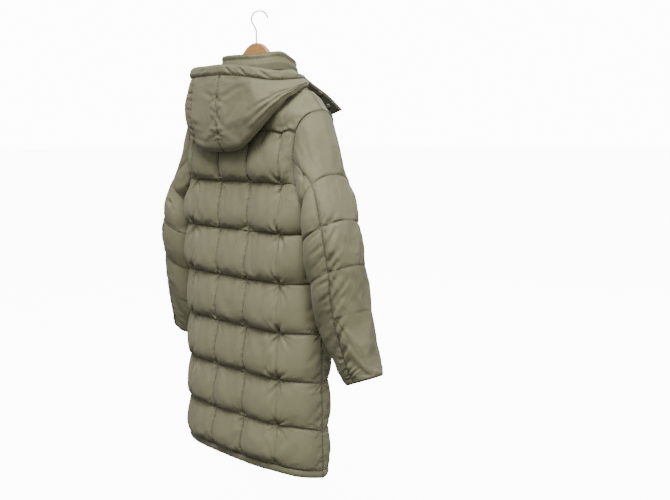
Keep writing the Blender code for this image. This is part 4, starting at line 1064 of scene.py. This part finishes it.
def hoodHalf(sideName, mirror, creases):
    seam, fold, rim, _, bulge = hoodPaths(sideName)
    outward = hoodOutward(fold, rim)
    lift = unit(seam * np.array([1, 1, 0]) + np.array([0, 0, 0.10]))
    along = runLength((fold + rim) / 2)
    inner, outer, quilt = [], [], []
    for share in hoodLook["innerRows"]:
        line = seam + (fold - seam) * share
        inner.append(line + lift * hoodLook["innerWall"])
        outer.append(line)
        quilt.append(np.column_stack([along + halfCell, 0 * along + 0.03]))
    inner.append(fold + np.array([0, 0, 0.004]))
    outer.append(fold - np.array([0, 0, 0.002]))
    quilt.append(quilt[-1])
    foldRow = len(outer) - 1
    tall = np.linalg.norm(rim - fold, axis=1)
    for share in np.concatenate([[0.03, 0.08], np.linspace(0.115, 1.0, 38)]):
        bow = math.sin(math.pi * share**0.8)
        line = fold + (rim - fold) * share + outward * (bulge * bow)[:, None]
        away = unit(outward * np.array([1, 1, 1 - share]))
        thick = np.interp(share, (0, 0.08, 0.9, 1), hoodLook["wall"])
        inner.append(line)
        outer.append(line + away * thick)
        quilt.append(np.column_stack([along + halfCell, np.minimum(tall * (1 - share), 0.055)]))
    for i, row in enumerate(outer[:-1]):
        push = clearOfBody(row, hoodLook["clearance"])
        outer[i] = row + push
        inner[i] = inner[i] + push
    inner, outer, quilt = np.stack(inner), np.stack(outer), np.stack(quilt)
    if mirror > 0:
        # the column seam of the quilting falls on the hood's side seam
        quilt[..., 0] = halfCell + (quilt[..., 0] - halfCell) * coat["cell"] / hoodLook["sideSeam"]
    # the outer wall is loosened, puckered at its centre seam and creased
    front = outer[foldRow:].copy()
    normal = gridNormals(front, np.broadcast_to(outward, front.shape))
    u = np.broadcast_to(along, front.shape[:2])
    v = runLength(front[:, 0])[:, None] + 0 * u
    fromFold, fromRim = np.linspace(0, 1, len(front))[:, None], np.linspace(1, 0, len(front))[:, None]
    free = softStep(u / 0.012) * softStep(fromFold / 0.1) * softStep(fromRim / 0.06)
    wander = uneven(u, v, 0.045, 51) * 0.0022 + uneven(u, v, 0.015, 52) * 0.0004
    front += normal * (wander * free)[..., None]
    sign = -1 if (gridFacing(front) * normal).sum(-1).mean() > 0 else 1
    loose = puffOut("hoodWall", front, np.zeros(front.shape[:2], bool), sign, hoodLook, hoodLook["loose"])
    loose = heldWithin(loose, front, normal, *hoodLook["held"])
    trough = creaseDepth(u, v, creases, 0.0036) + 0.0030 * np.exp(-u / 0.005)
    outer[foldRow:] = loose - normal * (trough * softStep(fromRim / 0.05))[..., None]
    depth = ((outer[foldRow + 1 :] - inner[foldRow + 1 :]) * normal[1:]).sum(-1)
    outer[foldRow + 1 :] += normal[1:] * (0.0025 - depth).clip(0)[..., None]
    outer[-1, :, 2] -= hoodLook["slant"]
    for sheet, slant in ((inner, -coat["slant"]), (outer, coat["slant"])):
        sheet[:, 0, 0] = 0
        sheet[..., 0] = np.maximum(sheet[..., 0], gap / 2) * mirror
        sheet[:, 0, 0] += slant
    cloth = seamedHoodCloth if mirror > 0 else hoodCloth
    piece = sewnWall(f"{sideName}HoodHalf", inner, outer, quilt, [cloth], f"hood_{sideName}")


rimFolds = [
    (-0.028, 0.020, -0.070, -0.002, 0.0040, 0.0036, True),
    (-0.082, 0.020, -0.124, -0.002, 0.0040, 0.0036, True),
    (-0.146, 0.018, -0.188, -0.002, 0.0032, 0.0036, True),
    (0.060, 0.016, 0.085, 0.000, 0.0024, 0.0034, True),
]


# shares of the rim's height, and its thickness there
rimThickness = ((0, 0.14, 0.3, 0.75, 0.93, 1), (0.0045, 0.0068, 0.0082, 0.0082, 0.0062, 0.004))


def hoodRim():
    # one band round both halves, from the wearer's right to the left
    sheets, quilts = {}, {}
    heights = np.linspace(0, 1, 15)
    for sideName, mirror in (("left", 1), ("right", -1)):
        _, fold, rim, rimHeight, _ = hoodPaths(sideName)
        level = unit(hoodOutward(fold, rim) * np.array([1, 1, 0]))
        along = runLength(rim) * mirror
        inner, outer, quilt = [], [], []
        for height in heights:
            thick = np.interp(height, *rimThickness)
            free = math.sin(math.pi * height) ** 0.5
            ripple = uneven(along + 0.9 * height * 0.02, height * 0.02, 0.012, 61)
            ripple = ripple * 0.0011 + uneven(along, height * 0.03, 0.04, 62) * 0.0013
            line = rim + np.outer(gap + rimHeight * height, (0, 0, 1))
            line -= level * hoodLook["rimLean"] * height**2
            line[:, 2] += uneven(along, 0, 0.05, 63) * 0.0012 * height
            thick = thick + ripple * free - creaseDepth(along, rimHeight * height, rimFolds) * free
            inner.append(line)
            outer.append(line + level * thick[:, None])
            quilt.append(np.column_stack([along, rimHeight * height]))
        outer[0][:, 2] -= hoodLook["slant"]
        sheets[sideName] = np.stack([inner, outer]) * np.array([mirror, 1, 1])
        quilts[sideName] = np.stack(quilt)
    sheets["left"][:, :, 0, 0] = 0
    both = np.concatenate([sheets["right"][:, :, :0:-1], sheets["left"]], axis=2)
    quilt = np.concatenate([quilts["right"][:, :0:-1], quilts["left"]], axis=1)
    piece = sewnWall("hoodRim", both[0], both[1], quilt, [trimCloth], "hood_rim")


# The two ends of the hood that snap across the chin
tab = {
    "topX": (0.112, 0.135, 0.165, 0.196),
    "topY": (-0.058, -0.076, -0.095, -0.115),
    "topDrop": (0.162, 0.186, 0.212, 0.2485),
    "lowX": (0.100, 0.112, 0.132, 0.158),
    "lowY": (-0.066, -0.078, -0.093, -0.110),
    "lowDrop": (0.198, 0.214, 0.235, 0.262),
    "wall": 0.006,
    "length": 0.13,
    "width": 0.045,
}


def throatTab(sideName, mirror):
    places, coarse = np.linspace(0, 3, 45), np.linspace(0, 3, 9)

    def edgeLine(edge):
        knots = (curveThrough(range(4), tab[edge + axis], coarse) for axis in ("X", "Y", "Drop"))
        return np.column_stack([curveThrough(coarse, values, places) for values in knots]) * (1, 1, -1)

    top, low = edgeLine("top"), edgeLine("low")
    face = unit(np.cross(top - low, np.gradient(top + low, axis=0)))
    face = face * np.sign(face[:, 1:2])
    shares = np.linspace(0, 1, 15)[:, None]
    lining = low + (top - low) * shares[..., None]
    fromEdge = np.minimum(shares, 1 - shares)
    fat = np.interp(fromEdge, (0, 0.1, 0.25, 0.5), (0.5, 0.8, 0.95, 1)) * tab["wall"]
    u = np.linspace(0, tab["length"], 45) + 0 * shares
    v = shares * tab["width"] + 0 * u
    free = softStep(fromEdge / 0.2) * softStep(np.minimum(places, 3 - places) / 0.3)
    soft = (uneven(u, v, 0.016, 71) * 0.0008 * free)[..., None] * face
    turn = np.array([mirror, 1, 1])
    outer = (lining - face * fat[..., None] - soft) * turn
    inner = (lining - np.abs(soft) * 0.5) * turn
    quilt, cloths = np.stack([u, v + 0.004], -1), [plainCloth, liningCloth]
    piece = sewnWall(f"{sideName}ThroatTab", inner, outer, quilt, cloths, f"hood_tab_{sideName}", 2)


def hemBand(name, node, side, cells):
    top = bodyRow(8.0, side, cells)
    top[:, 2] -= gap
    shares = np.linspace(0, 1, 9)[:, None]
    grid = np.stack([top - np.array([0, 0, coat["hemHeight"] * share]) for share in shares[:, 0]])
    u = np.broadcast_to(cells * coat["cell"], grid.shape[:2])
    v = shares * coat["hemHeight"] + 0 * u
    normal = bodyNormals(grid, side, 8.0 + 0 * shares[:, 0], cells)
    ripple = uneven(u, v * 0.4, 0.011, 81) * 0.0009 + uneven(u, v * 0.4, 0.035, 82) * 0.0011
    full = np.interp(shares, (0, 0.15, 0.5, 0.85, 1), (0.6, 1.1, 1.35, 1.05, 0.6))
    ends = softStep((sideCell - np.abs(cells)) / 0.08)
    inner = grid.copy()
    grid[0, :, 2] -= coat["slant"]
    outer = grid + normal * (coat["hemWall"] * full + ripple * ends * softStep(shares * 5))[..., None]
    for sheet, slant in ((inner, -coat["slant"]), (outer, coat["slant"])):
        sheet[..., 1] = keptOff(sheet[..., 1], side)
        sheet[:, np.abs(cells) == sideCell, 1] += slant
        if side < 0:
            sheet[..., 0] = keptOff(sheet[..., 0], np.sign(cells.sum()))
    piece = sewnWall(name, inner, outer, np.stack([u, v], -1), [trimCloth], node)


def frontPlacket():
    across, cells = np.linspace(-1, 1, 13), np.linspace(-0.5, 0.5, 41)
    places = across * coat["placket"] / 2
    rows = np.append(bodyRows, 8.0)
    middle = [bodyRow(row, -1, cells)[:, 0] for row in rows]
    grid = np.stack([bodyRow(row, -1, np.interp(places, x, cells)) for row, x in zip(rows, middle)])
    grid[-1, :, 2] -= coat["hemHeight"]
    normal = gridNormals(grid, (0.0, -1.0, 0.0))
    base = grid + normal * (coat["hemWall"] + 0.0005 + 0.0015)
    full = np.interp(np.abs(across), (0, 0.5, 0.8, 1), (1, 0.95, 0.7, 0.2))
    u = np.broadcast_to(places, grid.shape[:2])
    v = rows[:, None] * coat["cell"] + 0 * u
    swell = rowSwell(rows % 1, *plainRow)[:, None] * full
    ripple = uneven(u, v, 0.016, 91) * 0.0009 * softStep(swell / 0.4)
    outer = base + normal * (0.0018 + 0.006 * swell + ripple)[..., None]
    piece = sewnWall("frontPlacket", base, outer, np.stack([u, v], -1), [sleeveCloth], "placket")


standCollar()
print("collar sewn")
centreStars = []
for place, reach, deep in ((0.050, 0.036, 0.0056), (0.098, 0.042, 0.0074), (0.138, 0.036, 0.0080)):
    centreStars += starCreases(0.0, place, (-64, -38, -12, 14, 40, 66), reach, deep, int(place * 1000))
rightFolds = [
    (0.10, 0.020, 0.30, 0.016, 0.0018, 0.0060, False),
    (0.09, 0.050, 0.28, 0.038, 0.0022, 0.0075, False),
    (0.10, 0.085, 0.29, 0.060, 0.0016, 0.0075, False),
    (0.00, 0.128, 0.13, 0.175, 0.0024, 0.0060, True),
    (0.02, 0.060, 0.10, 0.130, 0.0016, 0.0070, False),
]
leftFolds = [
    (0.03, 0.030, 0.13, 0.020, 0.0018, 0.0060, False),
    (0.06, 0.070, 0.16, 0.060, 0.0020, 0.0060, False),
    (0.00, 0.130, 0.09, 0.160, 0.0022, 0.0060, True),
]
leftFolds.append((0.113, 0.010, 0.111, 0.185, 0.0040, 0.0042, True))
for place in (0.030, 0.052, 0.080, 0.104, 0.131, 0.152):
    leftFolds.append((0.132, place, 0.100, place + 0.005, 0.0034, 0.0036, True))
hoodHalf("right", -1.0, centreStars + rightFolds)
hoodHalf("left", 1.0, centreStars + leftFolds)
hoodRim()
print("hood sewn")
for sideName, mirror in (("left", 1.0), ("right", -1.0)):
    throatTab(sideName, mirror)
allCells = np.linspace(-sideCell, sideCell, 121)
hemBand("hemBack", "hem_back", 1, allCells)
hemBand("hemLeft", "hem_front_left", -1, allCells[60:])
hemBand("hemRight", "hem_front_right", -1, allCells[:61])
frontPlacket()
print("tabs, hem and placket sewn")

woodMaterial, woodNodes, woodLinks, woodShader = newMaterial(
    "varnishedBeech", {"Roughness": 0.36, "Coat Weight": 0.35, "Coat Roughness": 0.22}
)
grainPlace = setInputs(woodNodes.new("ShaderNodeMapping"), {"Scale": (9.0, 60.0, 60.0)})
woodLinks.new(woodNodes.new("ShaderNodeTexCoord").outputs["Object"], grainPlace.inputs["Vector"])
grainLook = {"Scale": 3.0, "Detail": 5.0, "Distortion": 0.6}
grain = noiseFrom(woodNodes, woodLinks, grainPlace.outputs[0], grainLook)
woodTone = colourMix(woodNodes, {"A": (0.44, 0.180, 0.050, 1), "B": (0.74, 0.370, 0.120, 1)})
woodLinks.new(grain, woodTone.inputs["Factor"])
woodLinks.new(woodTone.outputs["Result"], woodShader.inputs["Base Color"])
woodLinks.new(bumpFrom(woodNodes, woodLinks, grain, 0.12, 0.0004), woodShader.inputs["Normal"])

metalLooks = {
    "hookWire": {"colour": (0.26, 0.26, 0.27, 1), "roughness": 0.16, "scratch": 0.10},
    "snapMetal": {"colour": (0.36, 0.35, 0.31, 1), "roughness": 0.34, "scratch": 0.3},
}


def metalMaterial(name):
    look = metalLooks[name]
    material, nodes, links, shader = newMaterial(name, {"Base Color": look["colour"], "Metallic": 1.0})
    rough = noiseFrom(nodes, links, nodes.new("ShaderNodeTexCoord").outputs["Object"], {"Scale": 220.0})
    spread = mathNode(nodes, links, "MULTIPLY_ADD", rough, look["scratch"], look["roughness"])
    links.new(spread, shader.inputs["Roughness"])
    return material


hookWire, snapMetal = metalMaterial("hookWire"), metalMaterial("snapMetal")
for node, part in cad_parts.items():
    chosen = {"hanger_wood": woodMaterial, "hanger_hook": hookWire}.get(node)
    if "snap" in node:
        chosen = snapMetal
    if chosen:
        for slot in part.material_slots:
            slot.material = chosen
print("hanger and snaps finished")

floorPlace = -1.42
floorMesh = bpy.data.meshes.new("floor")
floorMesh.from_pydata([(-60, -60, 0), (60, -60, 0), (60, 60, 0), (-60, 60, 0)], [], [(0, 1, 2, 3)])
floor = linked("floor", floorMesh)
floor.location.z = floorPlace
paleLook = {"Base Color": (0.90, 0.90, 0.90, 1), "Roughness": 0.95}
paleLook.update({"Emission Color": (1, 1, 1, 1), "Emission Strength": 11.3})
floorMesh.materials.append(newMaterial("paleFloor", paleLook)[0])
floor.visible_diffuse = floor.visible_glossy = False

world = bpy.data.worlds.new("studio")
world.use_nodes = True
studioLook = {"low": 0.09, "high": 0.72, "seen": 13.0}
worldNodes, worldLinks = world.node_tree.nodes, world.node_tree.links
backdrop = setInputs(worldNodes["Background"], {"Color": (1, 1, 1, 1)})
heading = worldNodes.new("ShaderNodeSeparateXYZ")
worldLinks.new(worldNodes.new("ShaderNodeTexCoord").outputs["Generated"], heading.inputs[0])
rising = {"From Min": -0.6, "From Max": 0.8, "To Min": studioLook["low"], "To Max": studioLook["high"]}
overhead = setInputs(worldNodes.new("ShaderNodeMapRange"), rising)
worldLinks.new(heading.outputs[2], overhead.inputs["Value"])
strength = setInputs(worldNodes.new("ShaderNodeMix"), {"B": studioLook["seen"]})
worldLinks.new(worldNodes.new("ShaderNodeLightPath").outputs["Is Camera Ray"], strength.inputs["Factor"])
worldLinks.new(overhead.outputs[0], strength.inputs["A"])
worldLinks.new(strength.outputs["Result"], backdrop.inputs["Strength"])
bpy.context.scene.world = world

lampAway, aim = 4.4, Vector((0, 0, -0.6))
lamps = {
    "key": {"from": (-1.3, 1.75, 3.2), "power": 3.75, "soft": 28},
    "side": {"from": (-3.0, 0.6, 1.2), "power": 0.9, "soft": 45},
    "front": {"from": (1.4, -2.6, 2.2), "power": 1.6, "soft": 60},
}
for name, lamp in lamps.items():
    # each lamp is a round panel that faces the coat's middle
    light = bpy.data.lights.new(name, "AREA")
    light.shape = "DISK"
    light.size = 2 * lampAway * math.tan(math.radians(lamp["soft"] / 2))
    light.energy = lamp["power"] * math.pi * lampAway ** 2
    toLamp = Vector(lamp["from"]).normalized()
    holder = linked(name, light)
    holder.location = toLamp * lampAway + aim
    holder.rotation_euler = (-toLamp).to_track_quat("-Z", "Y").to_euler()

cameraView = {"place": (-2.0472, 1.5864, -0.305), "azimuth": 228.0, "tilt": 6.68, "focal": 53.73}
lens = bpy.data.cameras.new("camera")
lens.lens = cameraView["focal"]
lens.sensor_width = 36
camera = linked("camera", lens)
camera.location = cameraView["place"]
camera.rotation_euler = (math.radians(90 - cameraView["tilt"]), 0, math.radians(cameraView["azimuth"]))
bpy.context.scene.camera = camera

print("camera set")
